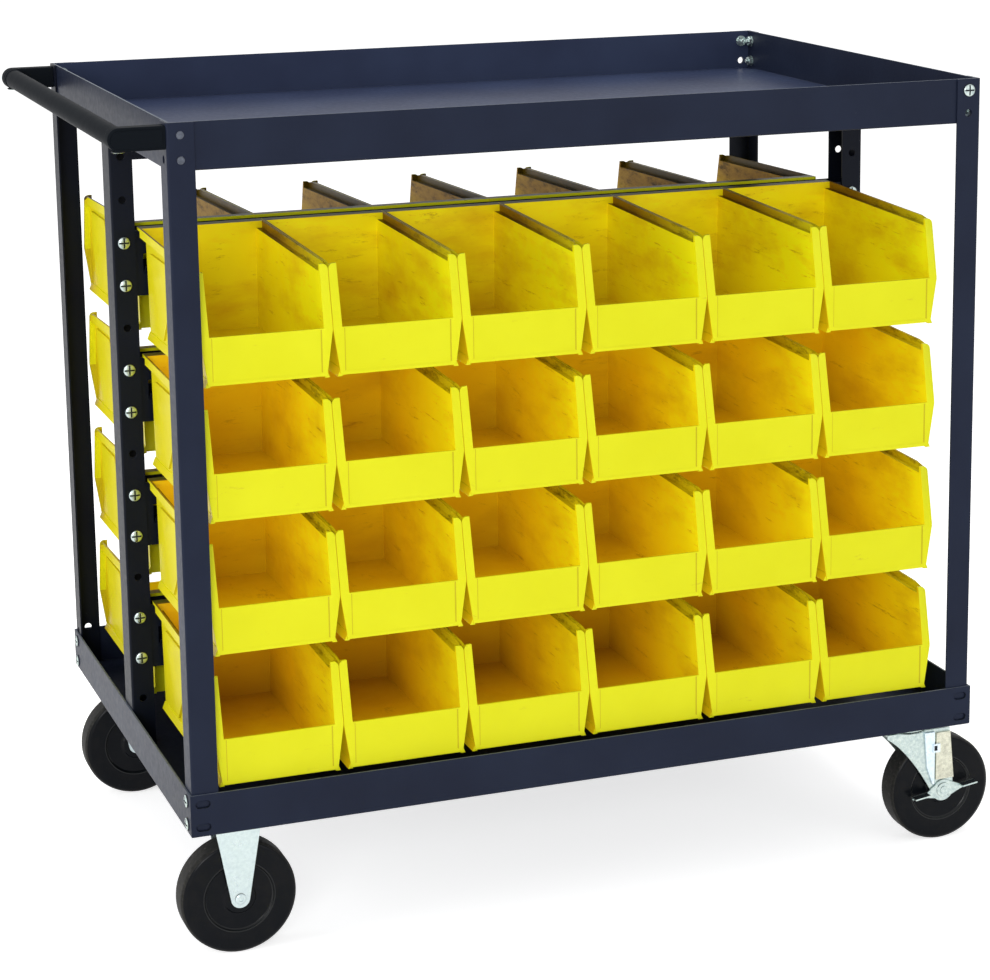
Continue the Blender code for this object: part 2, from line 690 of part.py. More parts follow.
def fork_mesh():
    """The fork from the middle of its crown's top face, trailing towards +X."""
    axle = (SWIVEL_TRAIL, WHEEL_RADIUS - CROWN_LEVEL)
    outer = LEG_INSIDE + CASTER_SHEET
    outline = [
        (-CROWN_FRONT, 0),
        (-CROWN_FRONT, -2 * CASTER_SHEET),
        *arc(axle, FORK_FOOT_RADIUS, 200, 375, LEG_FOOT_SIDES),
        (CROWN_BACK, 0),
    ]
    crown = box("crown", (-CROWN_FRONT, -outer, -CASTER_SHEET), (CROWN_BACK, outer, 0))
    race = prism("race", circle((0, 0), RACE_RADIUS, RACE_SIDES), "Z", -CASTER_SHEET / 2, RACE_HEIGHT)
    body = helper("fork", crown)
    legs = helper("legs", both_sides("legs", outline, LEG_INSIDE, CASTER_SHEET))
    combine(body, "UNION", legs, helper("race", race))
    bore = circle((0, 0), KINGPIN_RADIUS + GAP, AXLE_SIDES)
    cross = circle(axle, AXLE_RADIUS + GAP, AXLE_SIDES)
    cuts = [
        helper("kingpin_bore", prism("bore", bore, "Z", -CASTER_SHEET - OVERRUN, RACE_HEIGHT + OVERRUN)),
        helper("axle_bore", prism("bore", cross, "Y", -outer - OVERRUN, outer + OVERRUN)),
    ]
    combine(body, "DIFFERENCE", *cuts)
    return settled(body, "swivel_fork")


def axle_mesh():
    """The swivel caster's axle bolt, its nut on the -Y side outside the brake lever."""
    leg = LEG_INSIDE + CASTER_SHEET + GAP
    nut = leg + LEVER_SHEET + GAP
    loop, head_loop = circle((0, 0), AXLE_RADIUS, AXLE_SIDES), circle((0, 0), AXLE_HEAD_RADIUS, AXLE_SIDES)
    body = helper("axle", prism("axle", loop, "Y", -nut - AXLE_HEAD / 2, leg + AXLE_HEAD / 2))
    head = prism("head", head_loop, "Y", leg, leg + AXLE_HEAD)
    cap = prism("cap", head_loop, "Y", -nut - AXLE_HEAD, -nut)
    combine(body, "UNION", helper("head", head), helper("cap", cap))
    return settled(body, "swivel_axle")


def lever_mesh():
    """The foot brake: a bow-tie plate on the axle's -Y side with a pad bent out from each end."""
    inner = LEG_INSIDE + CASTER_SHEET + GAP
    hub, tip, root = LEVER_HUB, LEVER_TIP / 2, LEVER_HALF - PAD_LENGTH
    right = [(LEVER_HALF, tip), (root, 3 * tip), *arc((0, 0), hub, 45, 135, 4), (-root, 3 * tip)]
    left = [(-LEVER_HALF, tip), (-LEVER_HALF, -tip), (-root, -tip), *arc((0, 0), hub, 225, 315, 4)]
    outline = [*right, *left, (root, -tip), (LEVER_HALF, -tip)]
    body = helper("lever", prism("lever", outline, "Y", -inner - LEVER_SHEET, -inner))
    pads = []
    for start, end in ((-LEVER_HALF, -root), (root, LEVER_HALF)):
        low = (start, -inner - PAD_REACH, -tip)
        pads.append(box("pad", low, (end, -inner - LEVER_SHEET / 2, -tip + LEVER_SHEET)))
    combine(body, "UNION", helper("pads", joined("pads", pads)))
    bore = circle((0, 0), AXLE_RADIUS + GAP, AXLE_SIDES)
    cut = prism("bore", bore, "Y", -inner - LEVER_SHEET - OVERRUN, -inner + OVERRUN)
    combine(body, "DIFFERENCE", helper("lever_bore", cut))
    mesh = settled(body, "brake_lever")
    mesh.transform(Matrix.Rotation(-LEVER_TILT, 4, "Y"))
    return mesh


def make_swivel_casters(zinc, black):
    plate, fork, wheel = swivel_plate_mesh(), fork_mesh(), wheel_mesh()
    axle, lever = axle_mesh(), lever_mesh()
    outward = Matrix.Scale(-1, 4, (0, 1, 0))
    for side, y in CASTER_YS.items():
        across_axle = (SWIVEL_X + SWIVEL_TRAIL, y, WHEEL_RADIUS)
        if side == "rear":
            axle, lever = axle.copy(), lever.copy()
            for mesh in (axle, lever):
                mesh.transform(outward)
                mesh.flip_normals()
        piece(f"swivel_caster_{side}_plate", plate, zinc, (SWIVEL_X, y, PLATE_TOP))
        piece(f"swivel_caster_{side}_fork", fork, zinc, (SWIVEL_X, y, CROWN_LEVEL))
        piece(f"swivel_caster_{side}_axle", axle, zinc, across_axle)
        piece(f"swivel_caster_{side}_wheel", wheel, black, across_axle)
        piece(f"swivel_caster_{side}_brake", lever, zinc, across_axle)


clear_scene()
CART = bpy.data.objects.new("cart", None)
CART.location = (-(CART_LEFT + CART_RIGHT) / 2, -MIDDLE_Y, 0)
bpy.context.scene.collection.objects.link(CART)
STEEL = material("painted_steel", (0.024, 0.030, 0.065), 0.45)
PLASTIC = material("yellow_plastic", (0.83, 0.83, 0.03), 0.4)
HANDLE_BLACK = material("black_plastic", (0.012, 0.012, 0.014), 0.35)
WHEEL_BLACK = material("wheel_rubber", (0.010, 0.011, 0.013), 0.5)
ZINC = material("zinc_plate", (0.62, 0.68, 0.70), 0.35, 0.9)
make_trays(STEEL)
make_stiffener(STEEL)
make_corner_posts(STEEL)
make_centre_posts(STEEL)
make_rails(STEEL)
make_bins(PLASTIC)
make_handle(HANDLE_BLACK)
make_rigid_casters(ZINC, WHEEL_BLACK)
make_swivel_casters(ZINC, WHEEL_BLACK)
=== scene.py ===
import math

import bmesh
import bpy
from mathutils import Matrix, Vector


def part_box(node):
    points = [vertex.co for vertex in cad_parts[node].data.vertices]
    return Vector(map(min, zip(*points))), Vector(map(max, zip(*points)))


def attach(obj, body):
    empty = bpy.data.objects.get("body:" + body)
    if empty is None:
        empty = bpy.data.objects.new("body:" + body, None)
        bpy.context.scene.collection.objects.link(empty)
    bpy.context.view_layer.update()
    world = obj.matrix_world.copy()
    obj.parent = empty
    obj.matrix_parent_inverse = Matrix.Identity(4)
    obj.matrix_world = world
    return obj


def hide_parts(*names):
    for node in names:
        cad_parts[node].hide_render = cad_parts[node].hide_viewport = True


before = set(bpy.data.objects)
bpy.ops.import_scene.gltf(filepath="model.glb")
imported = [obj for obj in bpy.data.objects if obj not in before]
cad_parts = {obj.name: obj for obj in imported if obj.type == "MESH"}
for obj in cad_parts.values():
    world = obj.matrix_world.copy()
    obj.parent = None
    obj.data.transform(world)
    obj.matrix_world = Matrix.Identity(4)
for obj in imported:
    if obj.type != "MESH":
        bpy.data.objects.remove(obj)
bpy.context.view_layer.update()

SCENE = bpy.context.scene

# Photograph
IMAGE_WIDTH = 990
FOCAL_PIXELS = 2762.7
SHIFT_PIXELS = (-75.7, -148.5)
SENSOR_WIDTH = 36.0
CAMERA_PLACE = (-1.05338, -2.98282, 1.25117)
CAMERA_YAW = 0.36618
CAMERA_PITCH = -0.20788
CAMERA_ROLL = -0.00888
CAMERA_END = 60.0

# Light: the world's on the object, from before and from behind it, and the lamps
WORLD_FRONT = 0.72
WORLD_BACK = 0.34
LAMPS = (  # name, place, point aimed at, size, watts
    ("key", (-2.5, -5.0, 2.0), (0, 0, 0.45), (1.8, 1.8), 88),
    ("fill", (2.4, -3.8, 1.6), (0, 0, 0.4), (1.6, 1.6), 14),
    ("left", (-3.4, -0.2, 1.3), (0, 0, 0.5), (2.0, 2.0), 34),
    ("top", (0.2, 0.6, 3.6), (0, 0, 0.5), (2.5, 2.0), 45),
)
FLOOR_HALF = 30.0
FLOOR_GLOW = 0.64

# Sizes in metres, the same as in the frame
SHEET = 0.002
GAP = 0.0003
OVERRUN = 0.004
FLAT_ANGLE = math.radians(0.05)
WELD = 0.00001
FOLD = 0.0004  # inside radius of a fold in the frame's sheet
FOLD_STEPS = 5
EDGE = 0.0003  # rounding of a cut sheet edge
SEAM = 0.0005  # gap between the lips of a tray at its corners
HOLE_PITCH = 0.0254
HOLE_EDGE = 0.0127
HOLE_RADIUS = 0.0042
SLOT_HALF = 0.0038  # from the middle of a slot to the centre of its round end
SLOT_END = 0.0112
SLOT_MARK = 0.0010  # width of the shadow line inside a slot's edge
RAIL_HOLE_PITCH = 0.047625
RAIL_HOLES = 13
RAIL_BORDER = 0.0127
TRAY_BOLTS = (0.244, 0.448, 0.652, 0.856)  # along the tray's middle, from the outer face of the posts
SIDES = ("front", "rear")
ENDS = ("left", "right")
ROWS = (1, 2, 3, 4)
COLUMNS = (1, 2, 3, 4, 5, 6)

# Bins
BIN_WALL = 0.0022
BIN_SPACE = 0.0006
BIN_SETBACK = 0.0095
BIN_FRONT = 0.278
BIN_CORNER = 0.264
BIN_CORNER_HEIGHT = 0.117
RIM_LOW = 0.1085
BIN_LIFT = 0.0018
BIN_LEDGE_BACK = 0.0033
BIN_TOP_INSET = 0.0065
BIN_FLOOR_INSET = 0.0080
BIN_HEIGHT = 0.124
BIN_EDGE = 0.0005
FLANGE_ROUND = 0.0055  # top outer corner of the front flanges
FLANGE_FADE = 0.08  # share of that rounding left where it dies away behind the corner
LABEL_SIDE = 0.0128
LABEL_LOW, LABEL_HIGH = 0.0062, 0.0512
LABEL_DEPTH = 0.0011
LABEL_ROUND = 0.0006
LABEL_LINE_TOP = 0.0505454545  # the label's side lines are painted darker up to here, a painted shade
PANEL_RISE = 0.0026  # how far the side's pressed panels stand out
PANELS = (  # their outlines, as distance from the rail and height
    ((0.037, 0.100), (0.074, 0.012), (0.084, 0.012), (0.162, 0.100)),
    ((0.174, 0.100), (0.101, 0.012), (0.226, 0.012), (0.248, 0.060), (0.248, 0.100)),
)
PANEL_LINES = (0.010, 0.102)  # heights between which their edges are painted darker, a painted shade
RIB = (0.0020, 0.0100, 0.0007)  # the two marks on a bin's floor, across, along and up
RIB_PLACES = ((0.0290, 0.236), (0.0345, 0.236))

# Push handle
TUBE_RADIUS = 0.011
ARM_HEIGHT = 0.024
ARM_THICKNESS = 0.020
ARM_ROUND = 0.0024
HANDLE_DROP = 0.0028
HANDLE_REACH = 0.046
ELBOW_SCREW_SUNK = 0.0004
PANEL_BORDER = 0.0032
PANEL_PROUD = 0.0012
CUFF = 0.0006  # thickness of the cuff round each end of the tube

# Casters
WHEEL_RADIUS = 0.0635
AXLE_RADIUS = 0.006
WHEEL_SIDE = (  # half of the wheel's section, as distance from its middle and radius
    (0.0175, AXLE_RADIUS + GAP), (0.0175, 0.0156), (0.0169, 0.0166), (0.0143, 0.0186), (0.0135, 0.0205),
    (0.0133, 0.0362), (0.0138, 0.0370), (0.0150, 0.0379), (0.0158, 0.0385), (0.0160, 0.0396),
    (0.0160, 0.0565), (0.0157, 0.0588), (0.0146, 0.0612), (0.0126, 0.0629), (0.0100, WHEEL_RADIUS),
)
RING_BAND = (0.0364, 0.0392)  # radii of the shiny step in the wheel's face
TREAD_START = 0.0600
CASTER_SHEET = 0.0025
PRESSED = 0.0005  # rounding of the pressed sheet's edges
LEG_INSIDE = 0.018
LEG_OUTSIDE = LEG_INSIDE + CASTER_SHEET
LEG_TOP_HALF = 0.026
LEG_FOOT_RADIUS = 0.0105
PLATE_ROUND = 0.008
BOLT_SPACING = (0.037, 0.022)  # mounting bolts from the middle of the plate
CROWN_LEVEL = 0.139
CROWN_FRONT = 0.031
CROWN_BACK = 0.050
CROWN_ROUND = 0.002
SWIVEL_TRAIL = 0.042
FORK_SWEEP = ((-0.010, -0.017), (0.017, -0.056))  # what pulls the curve of the fork's front edge
FORK_FOOT_RADIUS = 0.014
RACE_RADIUS = 0.028
LEVER_HALF = 0.041
LEVER_HUB = 0.0125
LEVER_SHEET = 0.002
LEVER_TIP = 0.002
LEVER_TILT = math.radians(8)
PAD_LENGTH = 0.020
PAD_REACH = 0.011
PIN_PLACE = (0.0062, 0, -0.0085)  # the lever's small stop pin

# Turned caster parts, as distance past the face that they stand on and radius
RIVET = ((0.0020, 0.0042), (0.0018, 0.0050), (0.0009, 0.0060), (0.0, 0.0061))
RIVET_SHADE = (0.0058, 0.0062)
DIMPLE = ((0.0030, 0.0030), (0.0012, 0.0022))
STOP_PIN = ((0.0035, 0.0010), (0.0030, 0.0015), (0.0010, 0.0015))
AXLE_NUT = ((0.0020, 0.0036), (0.0018, 0.0046), (0.0009, 0.0050), (0.0007, 0.0084), (0.0, 0.0088))
AXLE_HEAD = ((0.0, 0.0088), (0.0012, 0.0086), (0.0020, 0.0074))

# What is fixed to the outside of a fork, as (x, z) outlines from the axle
FORK_RIB = ((-0.0262, 0.0735), (-0.0225, 0.030), (-0.0150, 0.008), (-0.0118, 0.008), (-0.0122, 0.0735))
STRAP = ((-0.0106, 0.0135), (-0.0104, 0.0715), (0.0078, 0.0715), (0.0132, 0.0140))
TAB = ((-0.0152, 0.0480), (-0.0060, 0.0480), (-0.0060, 0.0585), (-0.0152, 0.0585))
TAB_HOLE = ((-0.0138, 0.0503), (-0.0098, 0.0562))
# TAB_SHADE is a dark block behind the hole, a painted shade.
TAB_SHADE = ((-0.0142, 0.0499), (-0.0094, 0.0566))

# Screws
HEAD_RADIUS = 0.0073
HEAD_HEIGHT = 0.0022
HEAD_SHARES = ((0.2, 1.0), (0.55, 0.9), (0.83, 0.7), (0.96, 0.4), (1.0, 0.12))  # of its height and radius
SLOT_WIDTH = 0.0018
SLOT_SHARE = 0.78  # of the head's radius
WASHER_RADIUS = 0.0068
WASHER_HEIGHT = 0.0006
NUT_RADIUS = 0.0062
NUT_HEIGHT = 0.0048
STUD_RADIUS = 0.0030
STUD_END = 0.0030  # thread showing past the nut
STUD_CHAMFER = 0.0006

# Turns of a screw or nut that stands on z = 0, named after where its top then points
UP = Matrix.Identity(4)
DOWN = Matrix.Rotation(math.pi, 4, "X")
TO_FRONT = Matrix.Rotation(math.pi / 2, 4, "X")
TO_REAR = Matrix.Rotation(-math.pi / 2, 4, "X")
TO_LEFT = Matrix.Rotation(-math.pi / 2, 4, "Y")
TO_RIGHT = Matrix.Rotation(math.pi / 2, 4, "Y")


# Nodes of a material or of the world

def add_node(mat, kind, **values):
    node = mat.node_tree.nodes.new(kind)
    for key, value in values.items():
        if hasattr(node, key):
            setattr(node, key, value)
        else:
            node.inputs[key.replace("_", " ")].default_value = value
    return node


def feed(mat, value, socket):
    """Link another node's output to a socket, or set the socket to a plain value."""
    if isinstance(value, bpy.types.NodeSocket):
        mat.node_tree.links.new(value, socket)
    else:
        socket.default_value = value


def base_material(name, colour, roughness, metallic=0.0, **sockets):
    mat = bpy.data.materials.new(name)
    mat.use_nodes = True
    shader = mat.node_tree.nodes["Principled BSDF"]
    shader.inputs["Base Color"].default_value = (*colour, 1.0)
    shader.inputs["Roughness"].default_value = roughness
    shader.inputs["Metallic"].default_value = metallic
    for key, value in sockets.items():
        shader.inputs[key.replace("_", " ")].default_value = value
    return mat, shader


def maths(mat, operation, first, second):
    node = add_node(mat, "ShaderNodeMath", operation=operation)
    feed(mat, first, node.inputs[0])
    feed(mat, second, node.inputs[1])
    return node.outputs[0]


def map_range(mat, value, start, end, low=0.0, high=1.0):
    node = add_node(mat, "ShaderNodeMapRange")
    fed = {"Value": value, "From Min": start, "From Max": end, "To Min": low, "To Max": high}
    for key, source in fed.items():
        feed(mat, source, node.inputs[key])
    return node.outputs["Result"]


def noise(mat, scale, detail=4.0, rough=0.5, stretch=None, random=False):
    """A noise texture in the piece's own coordinates, stretched or shifted piece by piece if asked."""
    source = add_node(mat, "ShaderNodeTexCoord").outputs["Object"]
    if random:
        info = add_node(mat, "ShaderNodeObjectInfo")
        shift = add_node(mat, "ShaderNodeVectorMath", operation="ADD")
        feed(mat, source, shift.inputs[0])
        feed(mat, maths(mat, "MULTIPLY", info.outputs["Random"], 37.0), shift.inputs[1])
        source = shift.outputs[0]
    if stretch:
        mapping = add_node(mat, "ShaderNodeMapping", Scale=stretch)
        feed(mat, source, mapping.inputs["Vector"])
        source = mapping.outputs["Vector"]
    tex = add_node(mat, "ShaderNodeTexNoise", Scale=scale, Detail=detail, Roughness=rough)
    feed(mat, source, tex.inputs["Vector"])
    return tex.outputs["Fac"]


def along(mat, axis, start, end):
    """From 0 to 1 between two places along one of the piece's own axes."""
    split = add_node(mat, "ShaderNodeSeparateXYZ")
    feed(mat, add_node(mat, "ShaderNodeTexCoord").outputs["Object"], split.inputs[0])
    return map_range(mat, split.outputs[axis], start, end)


def ramp(mat, source, *stops):
    node = add_node(mat, "ShaderNodeValToRGB")
    elements = node.color_ramp.elements
    while len(elements) < len(stops):
        elements.new(0.5)
    for element, (place, colour) in zip(elements, stops):
        element.position = place
        element.color = (*colour, 1.0)
    feed(mat, source, node.inputs["Fac"])
    return node.outputs["Color"]


def mask(mat, source, low, high, most=1.0):
    """0 where the source is under low, rising to most where it reaches high."""
    return ramp(mat, source, (low, (0, 0, 0)), (high, (most, most, most)))


def mix(mat, factor, first, second):
    node = add_node(mat, "ShaderNodeMix", data_type="RGBA")
    feed(mat, factor, node.inputs["Factor"])
    feed(mat, first, node.inputs[6])
    feed(mat, (*second, 1.0), node.inputs[7])
    return node.outputs[2]


def coloured(mat, shader, colour, glow=0.0):
    """Colour a surface, and let it glow in the same colour, a painted light."""
    feed(mat, colour, shader.inputs["Base Color"])
    if glow:
        feed(mat, colour, shader.inputs["Emission Color"])
        feed(mat, glow, shader.inputs["Emission Strength"])


def rough(mat, shader, source, low, high):
    feed(mat, map_range(mat, source, 0.3, 0.7, low, high), shader.inputs["Roughness"])


def bump(mat, shader, source, strength, distance, before=None):
    node = add_node(mat, "ShaderNodeBump", Strength=strength, Distance=distance)
    feed(mat, source, node.inputs["Height"])
    if before:
        feed(mat, before.outputs["Normal"], node.inputs["Normal"])
    feed(mat, node.outputs["Normal"], shader.inputs["Normal"])
    return node


# Materials

def painted_steel(name, level):
    """Dark navy-grey powder coat with a fine orange peel and a few pale rubs. Its level scales the colour:
    below 1 it is a painted shade, above 1 a painted light.
    """
    mat, shader = base_material(name, (0.014, 0.019, 0.038), 0.42, Specular_IOR_Level=0.09)
    tints = ((0.012, 0.016, 0.033), (0.016, 0.022, 0.044))
    low, high = [tuple(level * part for part in tint) for tint in tints]
    colour = ramp(mat, noise(mat, 9.0, 3.0), (0.3, low), (0.7, high))
    rub = mask(mat, noise(mat, 90.0, 8.0, 0.7), 0.68, 0.80)
    coloured(mat, shader, mix(mat, rub, colour, (0.034, 0.040, 0.058)))
    rough(mat, shader, noise(mat, 160.0, 5.0), 0.36, 0.44)
    coarse = bump(mat, shader, noise(mat, 260.0, 2.0), 0.10, 0.0006)
    bump(mat, shader, noise(mat, 900.0, 2.0), 0.12, 0.0002, coarse)
    return mat


def yellow_plastic(name, red, green, glow=0.0):
    """Moulded yellow plastic, a little translucent, with flow marks and light scuffs. Given a glow, it also
    glows and turns orange towards the front: painted light.
    """
    mat, shader = base_material(
        name, (red, green, 0.008), 0.38, Specular_IOR_Level=0.20,
        Subsurface_Weight=0.12, Subsurface_Scale=0.006, Subsurface_Radius=(1.0, 0.8, 0.1),
    )
    flow = noise(mat, 14.0, 3.0, 0.5, (1.0, 0.35, 1.0), random=True)
    low, high = (red - 0.02, green - 0.025, 0.006), (red + 0.02, green + 0.02, 0.010)
    colour = ramp(mat, flow, (0.3, low), (0.7, high))
    scuff = mask(mat, noise(mat, 55.0, 9.0, 0.75, (0.5, 0.5, 1.6), True), 0.63, 0.80)
    colour = mix(mat, scuff, colour, (0.50, 0.36, 0.03))
    # Orange towards the front: painted light.
    if glow:
        colour = mix(mat, along(mat, "Y", -0.235, -0.266), colour, (0.80, 0.60, 0.005))
    coloured(mat, shader, colour, glow)
    rough(mat, shader, noise(mat, 70.0, 4.0, random=True), 0.30, 0.44)
    bump(mat, shader, noise(mat, 420.0, 3.0), 0.06, 0.0003)
    return mat


def amber_inside(name, green, painted_shade, glow):
    """The plastic inside a bin, deeper in colour than the outside, a painted shade, and scratched and
    smeared.

    It is painted lighter towards the opening, a painted light, and darker low down at the back as far as
    painted_shade asks, a painted shade. The glow is painted light, standing for the light that comes through
    the thin walls.
    """
    mat, shader = base_material(name, (0.88, green, 0.003), 0.42, Specular_IOR_Level=0.18)
    flow = noise(mat, 16.0, 4.0, 0.55, (1.0, 0.4, 1.0), random=True)
    colour = ramp(mat, flow, (0.3, (0.86, green - 0.05, 0.002)), (0.7, (0.90, green + 0.05, 0.004)))
    # Lighter towards the opening: painted light.
    colour = mix(mat, along(mat, "Y", -0.10, -0.260), colour, (0.90, min(green + 0.20, 0.86), 0.005))
    smear = mask(mat, noise(mat, 14.0, 5.0, 0.6, (0.6, 0.6, 1.6), True), 0.46, 0.72, 0.70)
    colour = mix(mat, smear, colour, (0.64, 0.36, 0.004))
    scratch = mask(mat, noise(mat, 55.0, 9.0, 0.80, (0.5, 0.25, 2.6), True), 0.58, 0.70, 0.9)
    colour = mix(mat, scratch, colour, (0.36, 0.19, 0.004))
    # Darker low down at the back, scaled by painted_shade: painted shade.
    low_back_shade = maths(mat, "MULTIPLY", along(mat, "Z", 0.105, 0.004), along(mat, "Y", -0.20, -0.02))
    colour = mix(mat, maths(mat, "MULTIPLY", low_back_shade, painted_shade), colour, (0.30, 0.13, 0.002))
    coloured(mat, shader, colour, glow)
    rough(mat, shader, noise(mat, 70.0, 4.0, random=True), 0.34, 0.50)
    bump(mat, shader, noise(mat, 380.0, 3.0), 0.07, 0.0003)
    return mat


def olive_inside():
    """The inside of the top rear bins, mottled, painted dark as shade towards the rims and lighter amber
    lower down, with a weak painted glow.
    """
    mat, shader = base_material("rear_amber_inside", (0.22, 0.16, 0.02), 0.45, Specular_IOR_Level=0.04)
    grain = noise(mat, 60.0, 9.0, 0.75, (0.5, 0.5, 1.6), True)
    stops = (0.35, (0.42, 0.27, 0.04)), (0.52, (0.32, 0.19, 0.03)), (0.66, (0.08, 0.05, 0.01))
    colour = mix(mat, along(mat, "Z", 0.095, 0.040), ramp(mat, grain, *stops), (0.86, 0.62, 0.003))
    coloured(mat, shader, colour, 0.12)
    bump(mat, shader, grain, 0.10, 0.0004)
    return mat


def bin_rim(name, *stops):
    """The top edges of a bin, coloured from the front, at 0, to the back lip, at 1. Their darkening towards
    the back and the dark back lip are painted shade.
    """
    mat, shader = base_material(name, (0.5, 0.35, 0.006), 0.38, Specular_IOR_Level=0.08)
    colour = ramp(mat, along(mat, "Y", -0.270, 0.004), *stops)
    scratch = mask(mat, noise(mat, 90.0, 8.0, 0.7, (1.0, 0.3, 1.0), True), 0.50, 0.70)
    coloured(mat, shader, mix(mat, scratch, colour, (0.16, 0.09, 0.004)))
    bump(mat, shader, noise(mat, 380.0, 3.0), 0.07, 0.0003)
    return mat


def zinc_plate(name, low, high):
    """Bright zinc with a faint blue spangle and fine scratches."""
    half = tuple((a + b) / 2 for a, b in zip(low, high))
    mat, shader = base_material(name, half, 0.36, 0.92)
    coloured(mat, shader, ramp(mat, noise(mat, 240.0, 6.0, 0.7), (0.36, low), (0.5, half), (0.64, high)))
    rough(mat, shader, noise(mat, 90.0, 6.0), 0.24, 0.42)
    bump(mat, shader, noise(mat, 600.0, 4.0, 0.6, (1.0, 1.0, 0.2)), 0.08, 0.0002)
    return mat


def black_plastic():
    mat, shader = base_material("black_plastic", (0.008, 0.010, 0.013), 0.36, Specular_IOR_Level=0.002)
    rough(mat, shader, noise(mat, 90.0, 4.0), 0.30, 0.34)
    bump(mat, shader, noise(mat, 700.0, 3.0), 0.08, 0.0002)
    return mat


def wheel_black():
    """Hard black moulding, a little dusty."""
    mat, shader = base_material("wheel_black", (0.003, 0.004, 0.005), 0.30, Specular_IOR_Level=0.09)
    dust = noise(mat, 40.0, 7.0, 0.65)
    coloured(mat, shader, ramp(mat, dust, (0.45, (0.004, 0.005, 0.007)), (0.75, (0.009, 0.009, 0.010))))
    rough(mat, shader, noise(mat, 65.0, 5.0), 0.18, 0.28)
    bump(mat, shader, noise(mat, 500.0, 4.0), 0.10, 0.0003)
    return mat


def shiny_ring():
    mat, shader = base_material("wheel_ring", (0.004, 0.005, 0.006), 0.22, Specular_IOR_Level=0.28)
    rough(mat, shader, noise(mat, 80.0, 4.0), 0.16, 0.28)
    return mat


def worn_tread():
    mat, shader = base_material("worn_tread", (0.03, 0.028, 0.026), 0.62, Specular_IOR_Level=0.15)
    stops = (0.40, (0.008, 0.008, 0.008)), (0.58, (0.022, 0.021, 0.019)), (0.74, (0.13, 0.12, 0.11))
    coloured(mat, shader, ramp(mat, noise(mat, 260.0, 9.0, 0.75), *stops))
    bump(mat, shader, noise(mat, 350.0, 6.0, 0.7), 0.3, 0.0005)
    return mat


def plain_dark(name, colour, metallic):
    """A dull finish, mottled: the caps' own grey, painted shade in recesses, and a painted highlight on cut
    edges.
    """
    mat, shader = base_material(name, colour, 0.5, metallic, Specular_IOR_Level=0.15)
    lighter = tuple(1.5 * part for part in colour)
    coloured(mat, shader, ramp(mat, noise(mat, 300.0, 5.0), (0.35, colour), (0.7, lighter)))
    return mat


STEEL = painted_steel("painted_steel", 1.0)
# A darker copy for the rear posts, the centre posts, the rails and the stiffener: painted shade.
SHADED_STEEL = painted_steel("deep_painted_steel", 0.40)
# A lighter copy for the tray's floor and inner faces: painted light.
LIGHTENED_TRAY_STEEL = painted_steel("tray_painted_steel", 2.2)
# A pale grey for the top edges of the lips: painted highlight.
EDGE_HIGHLIGHT_STEEL = plain_dark("edge_painted_steel", (0.09, 0.105, 0.13), 0.0)
YELLOW = yellow_plastic("yellow_plastic", 0.80, 0.80)
# A darker, warmer, glowing copy for the outer sides of the bins: painted shade and painted light.
SHADED_SIDE_YELLOW = yellow_plastic("side_yellow_plastic", 0.72, 0.64, 0.10)
# A darker copy for the edges of the label recess and of the pressed panels: painted shade.
EDGE_SHADE_YELLOW = yellow_plastic("line_yellow_plastic", 0.62, 0.52)
# The insides of the bins, more orange and darker row by row downwards: painted shade, with a painted glow.
AMBER = amber_inside("amber_inside", 0.74, 0.45, 0.17)
SHADED_AMBER = amber_inside("deep_amber_inside", 0.58, 0.65, 0.19)
DARKEST_SHADED_AMBER = amber_inside("brown_amber_inside", 0.54, 0.97, 0.14)
# A dark mottled inside for the top rear bins: painted shade, with a painted glow.
SHADED_REAR_INSIDE = olive_inside()
# The back lip's dark olive and near-black: painted shade.
LIP_SHADE_COLOURS = ((0.95, (0.32, 0.16, 0.004)), (0.96, (0.11, 0.12, 0.004)))
# Rims of the top front row, yellow at the front and painted darker towards the back as shade.
RIM = bin_rim(
    "bin_rim", (0.04, (0.80, 0.72, 0.01)), (0.40, (0.60, 0.42, 0.006)), (0.7, LIP_SHADE_COLOURS[0][1]), *LIP_SHADE_COLOURS
)
# Rims of the lower rows, painted darker sooner as shade.
AMBER_RIM = bin_rim("amber_rim", (0.0, (0.80, 0.70, 0.01)), (0.5, (0.64, 0.44, 0.005)), *LIP_SHADE_COLOURS)
# Near-black rims of the top rear bins: painted shade.
REAR_RIM = bin_rim("rear_bin_rim", (0.0, (0.12, 0.08, 0.004)), (0.94, (0.05, 0.035, 0.004)), LIP_SHADE_COLOURS[1])
ZINC = zinc_plate("zinc_plate", (0.38, 0.47, 0.47), (0.60, 0.68, 0.65))
SMOOTH_ZINC = zinc_plate("smooth_zinc_plate", (0.50, 0.59, 0.61), (0.60, 0.69, 0.70))
CREAM_ZINC = zinc_plate("cream_zinc_plate", (0.44, 0.44, 0.36), (0.68, 0.68, 0.56))
BLUE_ZINC = zinc_plate("blue_zinc_plate", (0.60, 0.72, 0.80), (0.74, 0.82, 0.88))
# A near-black used as painted shade in recesses, slot walls and gaps.
ZINC_SHADE = plain_dark("zinc_shade", (0.020, 0.024, 0.028), 0.5)
CAP_GREY = plain_dark("cap_grey", (0.085, 0.095, 0.120), 0.0)
WHEEL = wheel_black()
RING = shiny_ring()
TREAD = worn_tread()
SLOT_MATERIALS = {
    "painted_steel": STEEL,
    "yellow_plastic": YELLOW,
    "zinc_plate": ZINC,
    "black_plastic": black_plastic(),
    "wheel_black": WHEEL,
}


# Shapes

def mesh_of(name, points, faces, smooth=None):
    mesh = bpy.data.meshes.new(name)
    mesh.from_pydata(points, [], faces)
    shape = bmesh.new()
    shape.from_mesh(mesh)
    bmesh.ops.recalc_face_normals(shape, faces=shape.faces)
    shape.to_mesh(mesh)
    shape.free()
    if smooth:
        soften(mesh, smooth)
    return mesh


